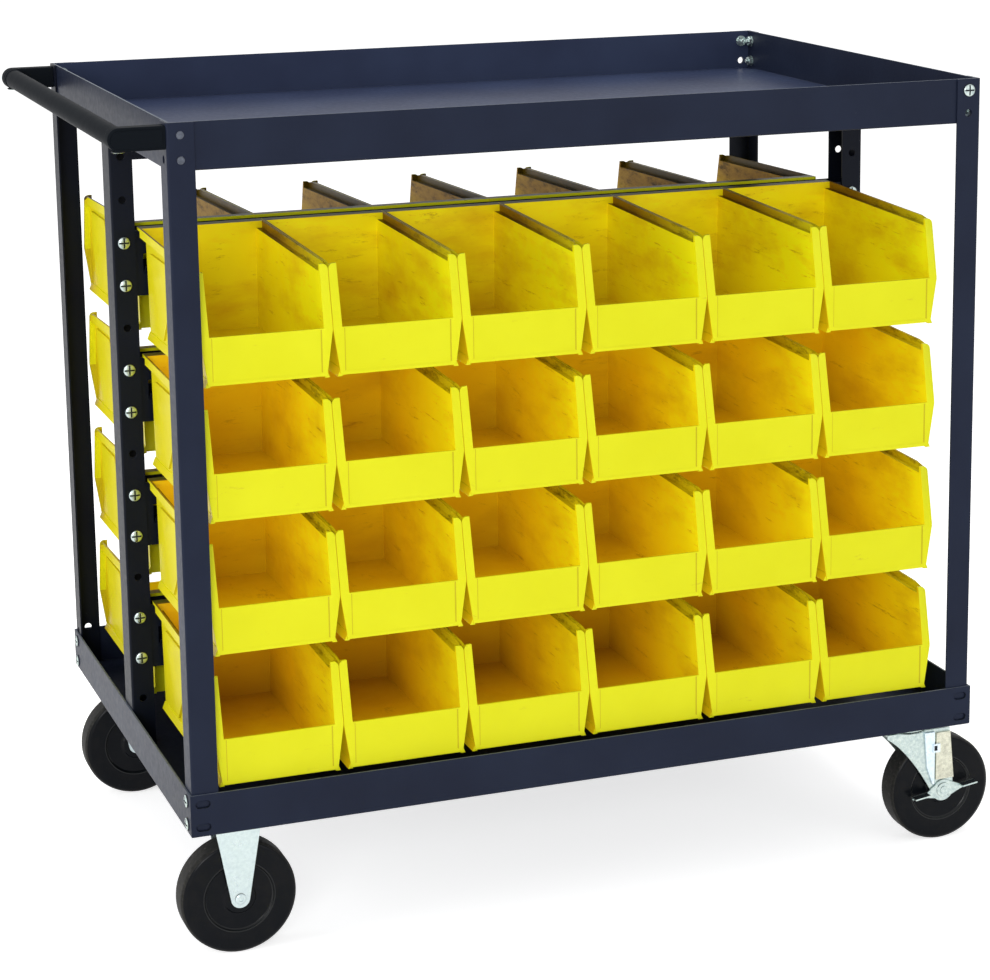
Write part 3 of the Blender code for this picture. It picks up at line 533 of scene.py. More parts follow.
def soften(mesh, angle=math.radians(35)):
    mesh.shade_smooth()
    mesh.set_sharp_from_angle(angle=angle)


def loft(name, loops, smooth=None, ring=False):
    """A closed solid through loops of as many points each. In a ring the last loop joins the first."""
    count, levels = len(loops[0]), len(loops)
    faces = []
    for level in range(levels if ring else levels - 1):
        start, after = level * count, (level + 1) % levels * count
        for i in range(count):
            beside = (i + 1) % count
            faces.append((start + i, start + beside, after + beside, after + i))
    if not ring:
        last = (levels - 1) * count
        faces += [tuple(range(count)), tuple(last + i for i in reversed(range(count)))]
    return mesh_of(name, [point for loop in loops for point in loop], faces, smooth)


def at_level(points, axis, level):
    """Flat points as places in space, at a level along X, Y or Z."""
    place = "XYZ".index(axis)
    return [(*point[:place], level, *point[place:]) for point in points]


def prism(name, outline, axis, low, high):
    """An outline of two-number points run along an axis. X takes (y, z), Y takes (x, z), Z takes (x, y)."""
    return loft(name, [at_level(outline, axis, low), at_level(outline, axis, high)])


def block(name, low, high):
    outline = [(low[0], low[1]), (high[0], low[1]), (high[0], high[1]), (low[0], high[1])]
    return prism(name, outline, "Z", low[2], high[2])


def arc(centre, radius, start, end, sides):
    angles = [math.radians(start + (end - start) * i / sides) for i in range(sides + 1)]
    return [(centre[0] + radius * math.cos(a), centre[1] + radius * math.sin(a)) for a in angles]


def circle(centre, radius, sides=24):
    return arc(centre, radius, 0, 360, sides)[:-1]


def lathe(name, profile, sides, axis, ring=False):
    """A profile of (along the axis, radius) points turned about X, Y or Z, capped unless it is a ring."""
    loops = [at_level(circle((0, 0), radius, sides), axis, level) for level, radius in profile]
    return loft(name, loops, math.radians(32), ring)


def folded(path):
    """The outline of a bent sheet. path is one face of it, the sheet lies on that path's left."""
    points = [Vector(point) for point in path]
    runs = [(b - a).normalized() for a, b in zip(points, points[1:])]
    lefts = [Vector((-run.y, run.x)) for run in runs]
    near, far = [points[0]], [points[0] + SHEET * lefts[0]]
    for i, corner in enumerate(points[1:-1]):
        before, after = runs[i], runs[i + 1]
        turn = math.atan2(before.x * after.y - before.y * after.x, before.dot(after))
        left = turn > 0
        reach = FOLD + SHEET if left else FOLD
        side = lefts[i] if left else -lefts[i]
        centre = corner + reach * side - reach * math.tan(abs(turn) / 2) * before
        first = math.atan2(-side.y, -side.x)
        for step in range(FOLD_STEPS + 1):
            angle = first + turn * step / FOLD_STEPS
            ray = Vector((math.cos(angle), math.sin(angle)))
            near.append(centre + reach * ray)
            far.append(centre + (reach - SHEET if left else reach + SHEET) * ray)
    near.append(points[-1])
    far.append(points[-1] + SHEET * lefts[-1])
    return [tuple(point) for point in near + far[::-1]]


def bezier(first, pull, push, last, steps):
    points = []
    for step in range(steps + 1):
        t = step / steps
        weights = ((1 - t) ** 3, 3 * t * (1 - t) ** 2, 3 * t * t * (1 - t), t ** 3)
        pairs = list(zip(weights, (first, pull, push, last)))
        points.append(tuple(sum(w * p[k] for w, p in pairs) for k in (0, 1)))
    return points


def round_rect(low, high, radius):
    outline = []
    (left, bottom), (right, top) = low, high
    corners = ((right, bottom, -1, 1), (right, top, -1, -1), (left, top, 1, -1), (left, bottom, 1, 1))
    for start, (x, y, inward, upward) in zip((270, 0, 90, 180), corners):
        outline += arc((x + inward * radius, y + upward * radius), radius, start, start + 90, 4)
    return outline


def joined(name, meshes):
    shape = bmesh.new()
    for mesh in meshes:
        shape.from_mesh(mesh)
    result = bpy.data.meshes.new(name)
    shape.to_mesh(result)
    shape.free()
    return result


def moved(mesh, place=(0, 0, 0), turn=None):
    """A copy of a mesh, turned about its origin and then moved."""
    copy = mesh.copy()
    matrix = Matrix.Translation(place) @ turn if turn else Matrix.Translation(place)
    copy.transform(matrix)
    if matrix.determinant() < 0:
        copy.flip_normals()
    return copy


def mirrored(mesh, axis, centre=0.0):
    """A mesh mirrored along one axis, about a plane at centre."""
    normal = Vector([float(k == axis) for k in range(3)])
    return moved(mesh, 2 * centre * normal, Matrix.Scale(-1, 4, normal))


def add_object(name, data):
    obj = bpy.data.objects.new(name, data)
    SCENE.collection.objects.link(obj)
    return obj


def applied(obj):
    """The object's mesh with its modifiers applied."""
    bpy.context.view_layer.update()
    graph = bpy.context.evaluated_depsgraph_get()
    return bpy.data.meshes.new_from_object(obj.evaluated_get(graph))


def worked(mesh, adds=(), cuts=(), bevel=0.0, segments=2, angle=35):
    """A mesh with others joined to it and cut from it, and its edges rounded."""
    base = add_object(mesh.name, mesh)
    others = []
    for operation, group in (("UNION", adds), ("DIFFERENCE", cuts)):
        for other in group:
            others.append(add_object("other", other))
            change = base.modifiers.new(operation, "BOOLEAN")
            change.operation = operation
            change.object = others[-1]
    if bevel:
        rounding = base.modifiers.new("bevel", "BEVEL")
        rounding.width = bevel
        rounding.segments = segments
        rounding.limit_method = "ANGLE"
        rounding.angle_limit = math.radians(angle)
    result = applied(base)
    result.name = mesh.name
    for gone in [base, *others]:
        bpy.data.objects.remove(gone)
    result.materials.clear()
    soften(result)
    return result


EVENED = {}


def evened(mesh):
    """The mesh with normals weighted by area, so that flat faces stay flat beside rounded edges."""
    if mesh.name not in EVENED:
        obj = add_object("evened", mesh)
        change = obj.modifiers.new("weights", "WEIGHTED_NORMAL")
        change.keep_sharp = True
        EVENED[mesh.name] = applied(obj)
        bpy.data.objects.remove(obj)
    return EVENED[mesh.name]


def coat(mesh, *materials):
    for material in materials:
        mesh.materials.append(material)


# Places, laid out from the outer corner of the front left post on the floor

ORIGIN = Vector((*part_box("corner_post_front_left")[0].xy, 0.0))


def layout(node):
    low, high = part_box(node)
    return low - ORIGIN, high - ORIGIN


def middle(node):
    low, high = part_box(node)
    return (low + high) / 2


def top_middle(node):
    return Vector((*middle(node).xy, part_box(node)[1].z))


POST_LOW, POST_HIGH = layout("corner_post_front_left")
TRAY_LOW, TRAY_HIGH = layout("top_tray")
SHELF_LOW, SHELF_HIGH = layout("lower_shelf")
CHANNEL_LOW, CHANNEL_HIGH = layout("centre_post_left")
LENGTH = layout("corner_post_front_right")[1].x
WIDTH = layout("corner_post_rear_left")[1].y
POST_LEG = POST_HIGH.x
TOP = POST_HIGH.z
RAIL_TOP = layout("bin_rail_front_1")[1].z
TOP_HOLES = (TOP - HOLE_EDGE, TOP - HOLE_EDGE - HOLE_PITCH)
SHELF_MIDDLE = (SHELF_LOW.z + SHELF_HIGH.z) / 2
SHELF_HOLES = (SHELF_MIDDLE + HOLE_PITCH / 2, SHELF_MIDDLE - HOLE_PITCH / 2)
LEG_MIDDLE = POST_LEG / 2
FLANGE_MIDDLE = CHANNEL_HIGH.x / 2


def show(name, mesh, slot, nodes=(), place=ORIGIN, body="cart", paint=None, turn=None):
    """A visible piece that rides on a body and stands for its CAD nodes."""
    if not mesh.materials:
        coat(mesh, paint or SLOT_MATERIALS[slot])
    obj = add_object(name, evened(mesh))
    obj.location = place
    if turn:
        obj.rotation_mode = "QUATERNION"
        obj.rotation_quaternion = turn
    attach(obj, body)
    if nodes:
        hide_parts(*nodes)


# Frame

def rods(places, axis, low, high):
    return joined("rods", [prism("rod", circle(place, HOLE_RADIUS), axis, low, high) for place in places])


def slot_outline(x, z, radius=HOLE_RADIUS):
    outline = arc((x + SLOT_HALF, z), radius, -90, 90, 12)
    return outline + arc((x - SLOT_HALF, z), radius, 90, 270, 12)


def slot_marks():
    """The shadow line that the edge of each shelf slot leaves on the front post behind it."""
    marks = []
    for z in SHELF_HOLES:
        outer = prism("mark", slot_outline(SLOT_END, z, HOLE_RADIUS + EDGE), "Y", -OVERRUN, SHEET / 2)
        inner = prism("core", slot_outline(SLOT_END, z, HOLE_RADIUS - SLOT_MARK), "Y", -2 * OVERRUN, OVERRUN)
        marks.append(worked(outer, cuts=[inner]))
    return joined("marks", marks)


def make_posts():
    """Bent angles with two holes at the top of each leg. The rear ones have a third above the shelf."""
    outline = folded([(0, POST_LEG), (0, 0), (POST_LEG, 0)])
    post = prism("corner_post", outline, "Z", POST_LOW.z, TOP)
    lowest = POST_LOW.z + SHELF_HIGH.z - SHELF_LOW.z
    # The rear posts take the darker copy of the paint, a painted shade.
    for side, levels, paint in (("front", TOP_HOLES, STEEL), ("rear", (*TOP_HOLES, lowest), SHADED_STEEL)):
        places = [(LEG_MIDDLE, z) for z in levels]
        cuts = [rods(places, "Y", -OVERRUN, OVERRUN), rods(places, "X", -OVERRUN, OVERRUN)]
        if side == "front":
            cuts.append(slot_marks())
        mesh = worked(post, cuts=cuts, bevel=EDGE)
        if side == "rear":
            mesh = mirrored(mesh, 1, WIDTH / 2)
        for end, piece in zip(ENDS, (mesh, mirrored(mesh, 0, LENGTH / 2))):
            node = f"corner_post_{side}_{end}"
            show(f"{node}_sheet", piece, "painted_steel", [node], paint=paint)


def make_centre_posts():
    """Channels whose web faces outward, with a column of holes in each flange."""
    front, back, reach = CHANNEL_LOW.y, CHANNEL_HIGH.y, CHANNEL_HIGH.x
    outline = folded([(reach, back), (0, back), (0, front), (reach, front)])
    post = prism("centre_post", outline, "Z", CHANNEL_LOW.z, CHANNEL_HIGH.z)
    first = RAIL_TOP - RAIL_BORDER + 2 * RAIL_HOLE_PITCH
    places = [(FLANGE_MIDDLE, first - k * RAIL_HOLE_PITCH) for k in range(RAIL_HOLES + 1)]
    mesh = worked(post, cuts=[rods(places, "Y", front - OVERRUN, back + OVERRUN)], bevel=EDGE)
    for end, piece in zip(ENDS, (mesh, mirrored(mesh, 0, LENGTH / 2))):
        node = f"centre_post_{end}"
        # The centre posts take the darker copy of the paint, a painted shade.
        show(f"{node}_channel", piece, "painted_steel", [node], paint=SHADED_STEEL)


def folded_tray(name, low, high, cuts):
    """A tray whose four lips are folded up from its floor, with an open seam at each corner."""
    outer = FOLD + SHEET
    fold = arc((outer, low.z + outer), outer, 270, 180, 6)
    inside = arc((outer, low.z + outer), FOLD, 270, 180, 6)
    section = fold + [(0, high.z), (SHEET, high.z)] + inside[::-1]
    loops = []
    for inset, z in section:
        a, b = (low.x + inset, low.y + inset), (high.x - inset, high.y - inset)
        loops.append([(a[0], a[1], z), (b[0], a[1], z), (b[0], b[1], z), (a[0], b[1], z)])
    seams = []
    for x in (low.x, high.x - SHEET):
        for y in (low.y + SHEET, high.y - SHEET - SEAM):
            start = (x - OVERRUN, y, low.z + outer)
            end = (x + SHEET + OVERRUN / 4, y + SEAM, high.z + OVERRUN)
            seams.append(block("seam", start, end))
    mesh = worked(loft(name, loops), cuts=[joined("seams", seams), *cuts], bevel=EDGE)
    coat(mesh, STEEL, EDGE_HIGHLIGHT_STEEL)
    # The lips' top edges take the pale grey, a painted highlight.
    for face in mesh.polygons:
        face.material_index = int(face.normal.z > 0.3 and face.center.z > high.z - 2 * EDGE)
    return mesh


def make_top_tray():
    """A tray with round holes through its lips, in line with those of the posts, and four in its floor."""
    low, high = TRAY_LOW, TRAY_HIGH
    cuts = []
    for axis, start, end, size in (("Y", low.y, high.y, LENGTH), ("X", low.x, high.x, WIDTH)):
        places = [(place, z) for place in (LEG_MIDDLE, size - LEG_MIDDLE) for z in TOP_HOLES]
        for face in (start, end - SHEET):
            cuts.append(rods(places, axis, face - OVERRUN, face + SHEET + OVERRUN))
    cuts.append(rods([(x, WIDTH / 2) for x in TRAY_BOLTS], "Z", low.z - OVERRUN, low.z + OVERRUN))
    mesh = folded_tray("tray", low, high, cuts)
    # The floor and the inner faces that look forward take the lighter copy of the paint, a painted light.
    coat(mesh, LIGHTENED_TRAY_STEEL)
    for face in mesh.polygons:
        place, normal = face.center, face.normal
        inner = low.y + 2 * SHEET < place.y < high.y - SHEET / 2
        inner = inner and low.z + SHEET / 2 < place.z < high.z - SHEET
        if inner and (normal.z > 0.9 or normal.y < -0.9):
            face.material_index = 2
    show("top_tray_sheet", mesh, "painted_steel", ["top_tray"])


def make_lower_shelf():
    """The lower tray stands outside the posts. Its long sides have slots, its ends round holes."""
    low, high = SHELF_LOW, SHELF_HIGH
    ends = (SLOT_END, LENGTH - SLOT_END)
    slots = []
    for x in ends:
        for z in SHELF_HOLES:
            for start in (low.y, high.y - SHEET):
                slots.append(prism("slot", slot_outline(x, z), "Y", start - OVERRUN, start + SHEET + GAP))
    cuts = [joined("slots", slots)]
    for start in (low.x, high.x - SHEET):
        places = [(y, z) for y in (LEG_MIDDLE, WIDTH - LEG_MIDDLE) for z in SHELF_HOLES]
        cuts.append(rods(places, "X", start - OVERRUN, start + SHEET + GAP))
    mesh = folded_tray("shelf", low, high, cuts)
    # The walls of the slots take the near-black, a painted shade that outlines each slot.
    coat(mesh, ZINC_SHADE)
    for face in mesh.polygons:
        across = min(abs(face.center.x - x) for x in ends)
        above = min(abs(face.center.z - z) for z in SHELF_HOLES)
        near = across < SLOT_HALF + HOLE_RADIUS + EDGE and above < HOLE_RADIUS + EDGE
        if near and abs(face.normal.y) < 0.9:
            face.material_index = 2
    show("lower_shelf_sheet", mesh, "painted_steel", ["lower_shelf"])


def node_mesh(node, origin=(0, 0, 0)):
    """A copy of a CAD node's mesh from another origin, its points welded and its flat faces made whole."""
    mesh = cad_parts[node].data.copy()
    mesh.materials.clear()
    shape = bmesh.new()
    shape.from_mesh(mesh)
    bmesh.ops.remove_doubles(shape, verts=shape.verts, dist=WELD)
    bmesh.ops.dissolve_limit(shape, angle_limit=FLAT_ANGLE, verts=shape.verts, edges=shape.edges)
    bmesh.ops.translate(shape, vec=-Vector(origin), verts=shape.verts)
    shape.to_mesh(mesh)
    shape.free()
    return mesh


def make_plain_pieces():
    """The rails and the stiffener keep the frame's own shape, with their cut edges rounded."""
    for node in ["tray_stiffener", *[f"bin_rail_{side}_{row}" for side in SIDES for row in ROWS]]:
        mesh = worked(node_mesh(node), bevel=EDGE)
        # The rails and the stiffener take the darker copy of the paint, a painted shade.
        show(f"{node}_sheet", mesh, "painted_steel", [node], (0, 0, 0), paint=SHADED_STEEL)


# Bins

def tub_side(z):
    return BIN_FLOOR_INSET + (BIN_TOP_INSET - BIN_FLOOR_INSET) * z / BIN_HEIGHT


def side_panel(outline, width):
    """A pressed panel on both sides of a bin."""
    outside = [(tub_side(z) - PANEL_RISE, -v, z) for v, z in outline]
    inside = [(tub_side(z) + BIN_WALL / 2, -v, z) for v, z in outline]
    panel = loft("panel", [outside, inside])
    return worked(joined("panels", [panel, mirrored(panel, 0, width / 2)]), bevel=BIN_EDGE)


def label_recess(width):
    """What is cut from a bin's front to leave its label field."""
    loops = []
    for y, spread in ((-BIN_FRONT - LABEL_DEPTH, 2 * LABEL_DEPTH), (-BIN_FRONT + LABEL_DEPTH, 0.0)):
        low = (LABEL_SIDE - spread, LABEL_LOW - spread)
        high = (width - LABEL_SIDE + spread, LABEL_HIGH + spread)
        loops.append(at_level(round_rect(low, high, LABEL_ROUND + spread / 2), "Y", y))
    return loft("label", loops)


def flange_corners(width):
    """What is cut from the top outer corners of the front flanges to round them."""
    loops = []
    stops = [(BIN_FRONT + OVERRUN, 1.0), (BIN_CORNER - FLANGE_ROUND, 1.0)]
    stops.append((BIN_CORNER - 4 * FLANGE_ROUND, FLANGE_FADE))
    for v, share in stops:
        radius = share * FLANGE_ROUND
        rise = (BIN_CORNER - v) * (BIN_HEIGHT - BIN_CORNER_HEIGHT) / BIN_CORNER if v < BIN_CORNER else 0.0
        top = BIN_CORNER_HEIGHT + rise
        outline = [(-OVERRUN, top + OVERRUN), (radius, top + OVERRUN)]
        outline += [*arc((radius, top - radius), radius, 90, 180, 6), (-OVERRUN, top - radius)]
        loops.append(at_level(outline, "Y", -v))
    corner = loft("corner", loops)
    return joined("corners", [corner, mirrored(corner, 0, width / 2)])


def bin_mesh(width):
    """One hopper bin from its left side, the face of its rail and its underside, opening to -Y."""
    low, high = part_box("bin_front_1_1")
    shell = node_mesh("bin_front_1_1", (low.x, high.y - BIN_LEDGE_BACK, low.z))
    adds = [side_panel(outline, width) for outline in PANELS]
    floor = BIN_LIFT + BIN_WALL
    marks = []
    for x, v in RIB_PLACES:
        marks.append(block("mark", (x, -v - RIB[1], floor - RIB[2]), (x + RIB[0], -v, floor + RIB[2])))
    adds.append(joined("marks", marks))
    shell = worked(shell, cuts=[flange_corners(width)], bevel=BIN_EDGE, angle=30)
    mesh = worked(shell, adds=adds, cuts=[label_recess(width)])
    coat(mesh, YELLOW, AMBER, SHADED_SIDE_YELLOW, RIM, EDGE_SHADE_YELLOW)
    reach = BIN_EDGE / 2
    for face in mesh.polygons:
        place, normal = face.center, face.normal
        across = min(place.x, width - place.x)
        deep = BIN_SETBACK + BIN_WALL - reach < -place.y < BIN_FRONT - BIN_WALL + reach
        inner = across > tub_side(place.z) + BIN_WALL - reach
        # Rims take the rim colours, painted darker towards the back as shade. Insides take the deeper inside
        # colour, a painted shade. Outer sides take the darker, warmer, glowing side copy, painted shade and
        # painted light.
        if place.z > RIM_LOW and -place.y < BIN_CORNER - BIN_WALL and (normal.z > 0.5 or not inner):
            face.material_index = 3
        elif deep and inner and place.z > floor - reach:
            face.material_index = 1
        elif abs(normal.x) > 0.7:
            face.material_index = 2
        # The sides of the label recess and the edges of the pressed panels take the darker copy: painted
        # shade.
        recess = -BIN_FRONT + reach / 4 < place.y < -BIN_FRONT + 0.95 * LABEL_DEPTH
        recess = recess and across > LABEL_SIDE / 2 and place.z < LABEL_LINE_TOP and normal.z < 0.3
        pressed = 0.2 * PANEL_RISE < tub_side(place.z) - across < 0.9 * PANEL_RISE
        pressed = pressed and abs(normal.x) < 0.7 and PANEL_LINES[0] < place.z < PANEL_LINES[1]
        if recess or pressed:
            face.material_index = 4
    return mesh


def make_bins():
    """The front bins one by one, and six to each rear row, turned round."""
    low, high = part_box("bin_front_1_1")
    width = high.x - low.x
    mesh = bin_mesh(width)
    half_turn = Matrix.Rotation(math.pi, 3, "Z").to_quaternion()
    # Lower rows take darker, more orange insides and rims, a painted shade. The top rear row takes a dark
    # inside and near-black rims, painted shade too.
    for row, inside in zip(ROWS, (AMBER, SHADED_AMBER, SHADED_AMBER, DARKEST_SHADED_AMBER)):
        front = mesh.copy()
        front.materials[1] = inside
        front.materials[3] = RIM if row == 1 else AMBER_RIM
        rear = front.copy()
        if row == 1:
            rear.materials[1], rear.materials[3] = SHADED_REAR_INSIDE, REAR_RIM
        for column in COLUMNS:
            node = f"bin_front_{row}_{column}"
            low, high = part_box(node)
            place = (low.x, high.y - BIN_LEDGE_BACK, low.z)
            show(f"{node}_moulding", front, "yellow_plastic", [node], place, node)
        node = f"bin_row_rear_{row}"
        low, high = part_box(node)
        pitch = (high.x - low.x + BIN_SPACE) / len(COLUMNS)
        for column in COLUMNS:
            name = f"bin_rear_{row}_{column}_moulding"
            place = (low.x + (column - 1) * pitch + width, low.y + BIN_LEDGE_BACK, low.z)
            show(name, rear, "yellow_plastic", [node], place, node, turn=half_turn)


# Push handle

def make_handle():
    """A tube between two arms. Each arm has a round outer end and a raised panel on its outer face."""
    radius = ARM_HEIGHT / 2
    level = TOP - HANDLE_DROP - radius
    centre = (-HANDLE_REACH, level)
    outline = [(OVERRUN, level - radius), (OVERRUN, level + radius), *arc(centre, radius, 90, 270, 20)]
    end = (2 * OVERRUN, WIDTH + OVERRUN, level + 2 * radius)
    beyond = block("beyond", (-GAP, -OVERRUN, level - 2 * radius), end)
    small = radius - PANEL_BORDER
    raised = [(-PANEL_BORDER, level - small), (-PANEL_BORDER, level + small)]
    raised += arc(centre, small, 90, 270, 20)
    arm = worked(prism("arm", outline, "Y", PANEL_PROUD, ARM_THICKNESS), bevel=ARM_ROUND, segments=4)
    inside = ARM_THICKNESS / 2
    cuff = prism("cuff", circle(centre, TUBE_RADIUS + CUFF, 40), "Y", inside, ARM_THICKNESS + inside / 2)
    half = [
        worked(arm, cuts=[beyond]),
        worked(prism("panel", raised, "Y", 0, 2 * PANEL_PROUD), bevel=PRESSED),
        worked(cuff, bevel=0.8 * PRESSED),
    ]
    tube = prism("tube", circle(centre, TUBE_RADIUS, 40), "Y", inside, WIDTH - inside)
    mesh = joined("push_handle", [tube, *half, *[mirrored(piece, 1, WIDTH / 2) for piece in half]])
    soften(mesh)
    show("push_handle_moulding", mesh, "black_plastic", ["push_handle"])


# Screws and nuts

def screw_mesh():
    """A pan head with a crossed recess, standing on z = 0."""
    radius, height = HEAD_RADIUS, HEAD_HEIGHT
    dome = [(0.0, radius - EDGE), *[(rise * height, reach * radius) for rise, reach in HEAD_SHARES]]
    long, half, floor = SLOT_SHARE * radius, SLOT_WIDTH / 2, 0.45 * height
    cuts = [
        block("recess", (-long, -half, floor), (long, half, 2 * height)),
        block("recess", (-half, -long, floor), (half, long, 2 * height)),
    ]
    mesh = worked(lathe("screw", dome, 28, "Z"), cuts=cuts)
    # The recess and the rim of the head take the near-black, a painted shade.
    for face in mesh.polygons:
        distance = face.center.xy.length
        sunk = distance < long and face.center.z < height * (0.66 if distance > 0.5 * radius else 0.90)
        face.material_index = int(sunk or distance > 0.93 * radius)
    return mesh


def nut_mesh():
    """A hexagonal nut on a thin washer with the bolt's end showing, standing on z = 0."""
    washer = lathe("washer", [(0, WASHER_RADIUS), (WASHER_HEIGHT, WASHER_RADIUS)], 28, "Z")
    nut = worked(prism("nut", circle((0, 0), NUT_RADIUS, 6), "Z", WASHER_HEIGHT, NUT_HEIGHT), bevel=PRESSED)
    top = NUT_HEIGHT + STUD_END
    profile = [(NUT_HEIGHT - EDGE, STUD_RADIUS), (top - STUD_CHAMFER, STUD_RADIUS)]
    profile.append((top, STUD_RADIUS - STUD_CHAMFER))
    mesh = joined("nut", [washer, nut, lathe("end", profile, 20, "Z")])
    soften(mesh)
    return mesh


def plug_mesh():
    """A flat disc closing a hole, as the pair in the front left post shows."""
    radius = HOLE_RADIUS - GAP
    return lathe("plug", [(-SHEET, radius), (0.0002, radius), (0.0008, 0.7 * HOLE_RADIUS)], 24, "Z")


def mounting_bolts():
    return [(x * BOLT_SPACING[0], y * BOLT_SPACING[1]) for x in (-1, 1) for y in (-1, 1)]


def make_screws():
    screw, nut, plug = screw_mesh(), nut_mesh(), plug_mesh()
    heads, nuts, plugs = [], [], []
    left, right = LEG_MIDDLE, LENGTH - LEG_MIDDLE
    upper = TOP_HOLES[0]
    for z in TOP_HOLES:
        plugs.append(moved(plug, (left, 0, z), TO_FRONT))
    heads.append(moved(screw, (right, 0, upper), TO_FRONT))
    nuts.append(moved(nut, (right, TRAY_LOW.y + SHEET, upper), TO_REAR))
    for x in (left, right):
        heads.append(moved(screw, (x, WIDTH, upper), TO_REAR))
        nuts.append(moved(nut, (x, TRAY_HIGH.y - SHEET, upper), TO_FRONT))
    for y in (LEG_MIDDLE, WIDTH - LEG_MIDDLE):
        for z in TOP_HOLES:
            heads.append(moved(screw, (LENGTH, y, z), TO_RIGHT))
            nuts.append(moved(nut, (TRAY_HIGH.x - SHEET, y, z), TO_LEFT))
        nuts.append(moved(nut, (TRAY_LOW.x + SHEET, y, upper), TO_RIGHT))
        for z in SHELF_HOLES:
            heads.append(moved(screw, (SHELF_LOW.x, y, z), TO_LEFT))
            heads.append(moved(screw, (SHELF_HIGH.x, y, z), TO_RIGHT))
    for row in ROWS:
        level = layout(f"bin_rail_front_{row}")[1].z - RAIL_BORDER
        for z in (level, level - RAIL_HOLE_PITCH):
            for x in (FLANGE_MIDDLE, LENGTH - FLANGE_MIDDLE):
                heads.append(moved(screw, (x, CHANNEL_LOW.y, z), TO_FRONT))
                heads.append(moved(screw, (x, CHANNEL_HIGH.y, z), TO_REAR))
    for x in TRAY_BOLTS:
        heads.append(moved(screw, (x, WIDTH / 2, TRAY_LOW.z + SHEET), UP))
    for name in ("rigid_caster_{}_bracket", "swivel_caster_{}_plate"):
        for side in SIDES:
            centre = top_middle(name.format(side)) - ORIGIN
            for x, y in mounting_bolts():
                heads.append(moved(screw, (centre.x + x, centre.y + y, SHELF_LOW.z + SHEET), UP))
    level = TOP - HANDLE_DROP - ARM_HEIGHT
    for y in (ARM_THICKNESS / 2, WIDTH - ARM_THICKNESS / 2):
        heads.append(moved(screw, (-HANDLE_REACH, y, level + ELBOW_SCREW_SUNK), DOWN))
    groups = (("screw_heads", heads, ZINC), ("nuts", nuts, ZINC), ("hole_plugs", plugs, CAP_GREY))
    for name, group, material in groups:
        mesh = joined(name, group)
        coat(mesh, material, ZINC_SHADE)
        soften(mesh)
        show(name, mesh, "zinc_plate")


# Casters

def wheel_mesh():
    """A solid moulded wheel about its axle, with a ring step, a hub boss and a scuffed tread."""
    profile = [*WHEEL_SIDE, *[(-y, radius) for y, radius in reversed(WHEEL_SIDE)]]
    mesh = lathe("caster_wheel", profile, 96, "Y", ring=True)
    coat(mesh, WHEEL, TREAD, RING)
    for face in mesh.polygons:
        radius = math.hypot(face.center.x, face.center.z)
        face.material_index = 1 if radius > TREAD_START else 2 * int(RING_BAND[0] < radius < RING_BAND[1])
    return mesh


def both_legs(outline):
    near = prism("legs", outline, "Y", -LEG_OUTSIDE, -LEG_INSIDE)
    return joined("legs", [near, mirrored(near, 1)])


def plate_mesh():
    """A caster's mounting plate, with its nuts and the ends of their bolts, from the middle of its top."""
    low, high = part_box("rigid_caster_front_bracket")
    half_x, half_y = (high.x - low.x) / 2, (high.y - low.y) / 2
    outline = round_rect((-half_x, -half_y), (half_x, half_y), PLATE_ROUND)
    plate = prism("plate", outline, "Z", -CASTER_SHEET, 0)
    nuts = [moved(nut_mesh(), (x, y, -CASTER_SHEET), DOWN) for x, y in mounting_bolts()]
    return plate, nuts


def make_rigid_casters():
    """Two legs folded down from the plate, each with the closed end of the axle rivet."""
    wheel = wheel_mesh()
    drop = WHEEL_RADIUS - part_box("rigid_caster_front_bracket")[1].z
    foot = arc((0, drop), LEG_FOOT_RADIUS, 195, 345, 20)
    outline = [(-LEG_TOP_HALF, -CASTER_SHEET / 2), *foot, (LEG_TOP_HALF, -CASTER_SHEET / 2)]
    plate, nuts = plate_mesh()
    bracket = worked(plate, adds=[both_legs(outline)], bevel=PRESSED)
    rivet = [(-LEG_OUTSIDE - rise, radius) for rise, radius in RIVET]
    profile = [*rivet, (-LEG_OUTSIDE, AXLE_RADIUS), *[(-y, radius) for y, radius in reversed(rivet)]]
    dimple = lathe("dimple", [(-LEG_OUTSIDE - rise, radius) for rise, radius in DIMPLE], 24, "Y")
    axle = worked(lathe("rivet", profile, 36, "Y"), cuts=[dimple, mirrored(dimple, 1)])
    mesh = joined("rigid_bracket", [bracket, moved(axle, (0, 0, drop)), *nuts])
    soften(mesh)
    # A thin near-black ring round the rivet's edge, a painted shade.
    coat(mesh, SMOOTH_ZINC, ZINC_SHADE)
    for face in mesh.polygons:
        radius = math.hypot(face.center.x, face.center.z - drop)
        if abs(face.center.y) > LEG_OUTSIDE + EDGE / 3 and RIVET_SHADE[0] < radius < RIVET_SHADE[1]:
            face.material_index = 1
    for side in SIDES:
        bracket, moulding = f"rigid_caster_{side}_bracket", f"rigid_caster_{side}_wheel"
        show(f"{bracket}_pressing", mesh.copy(), "zinc_plate", [bracket], top_middle(bracket))
        place, body = middle(moulding), f"rigid_wheel_{side}"
        show(f"{moulding}_moulding", wheel, "wheel_black", [moulding], place, body)


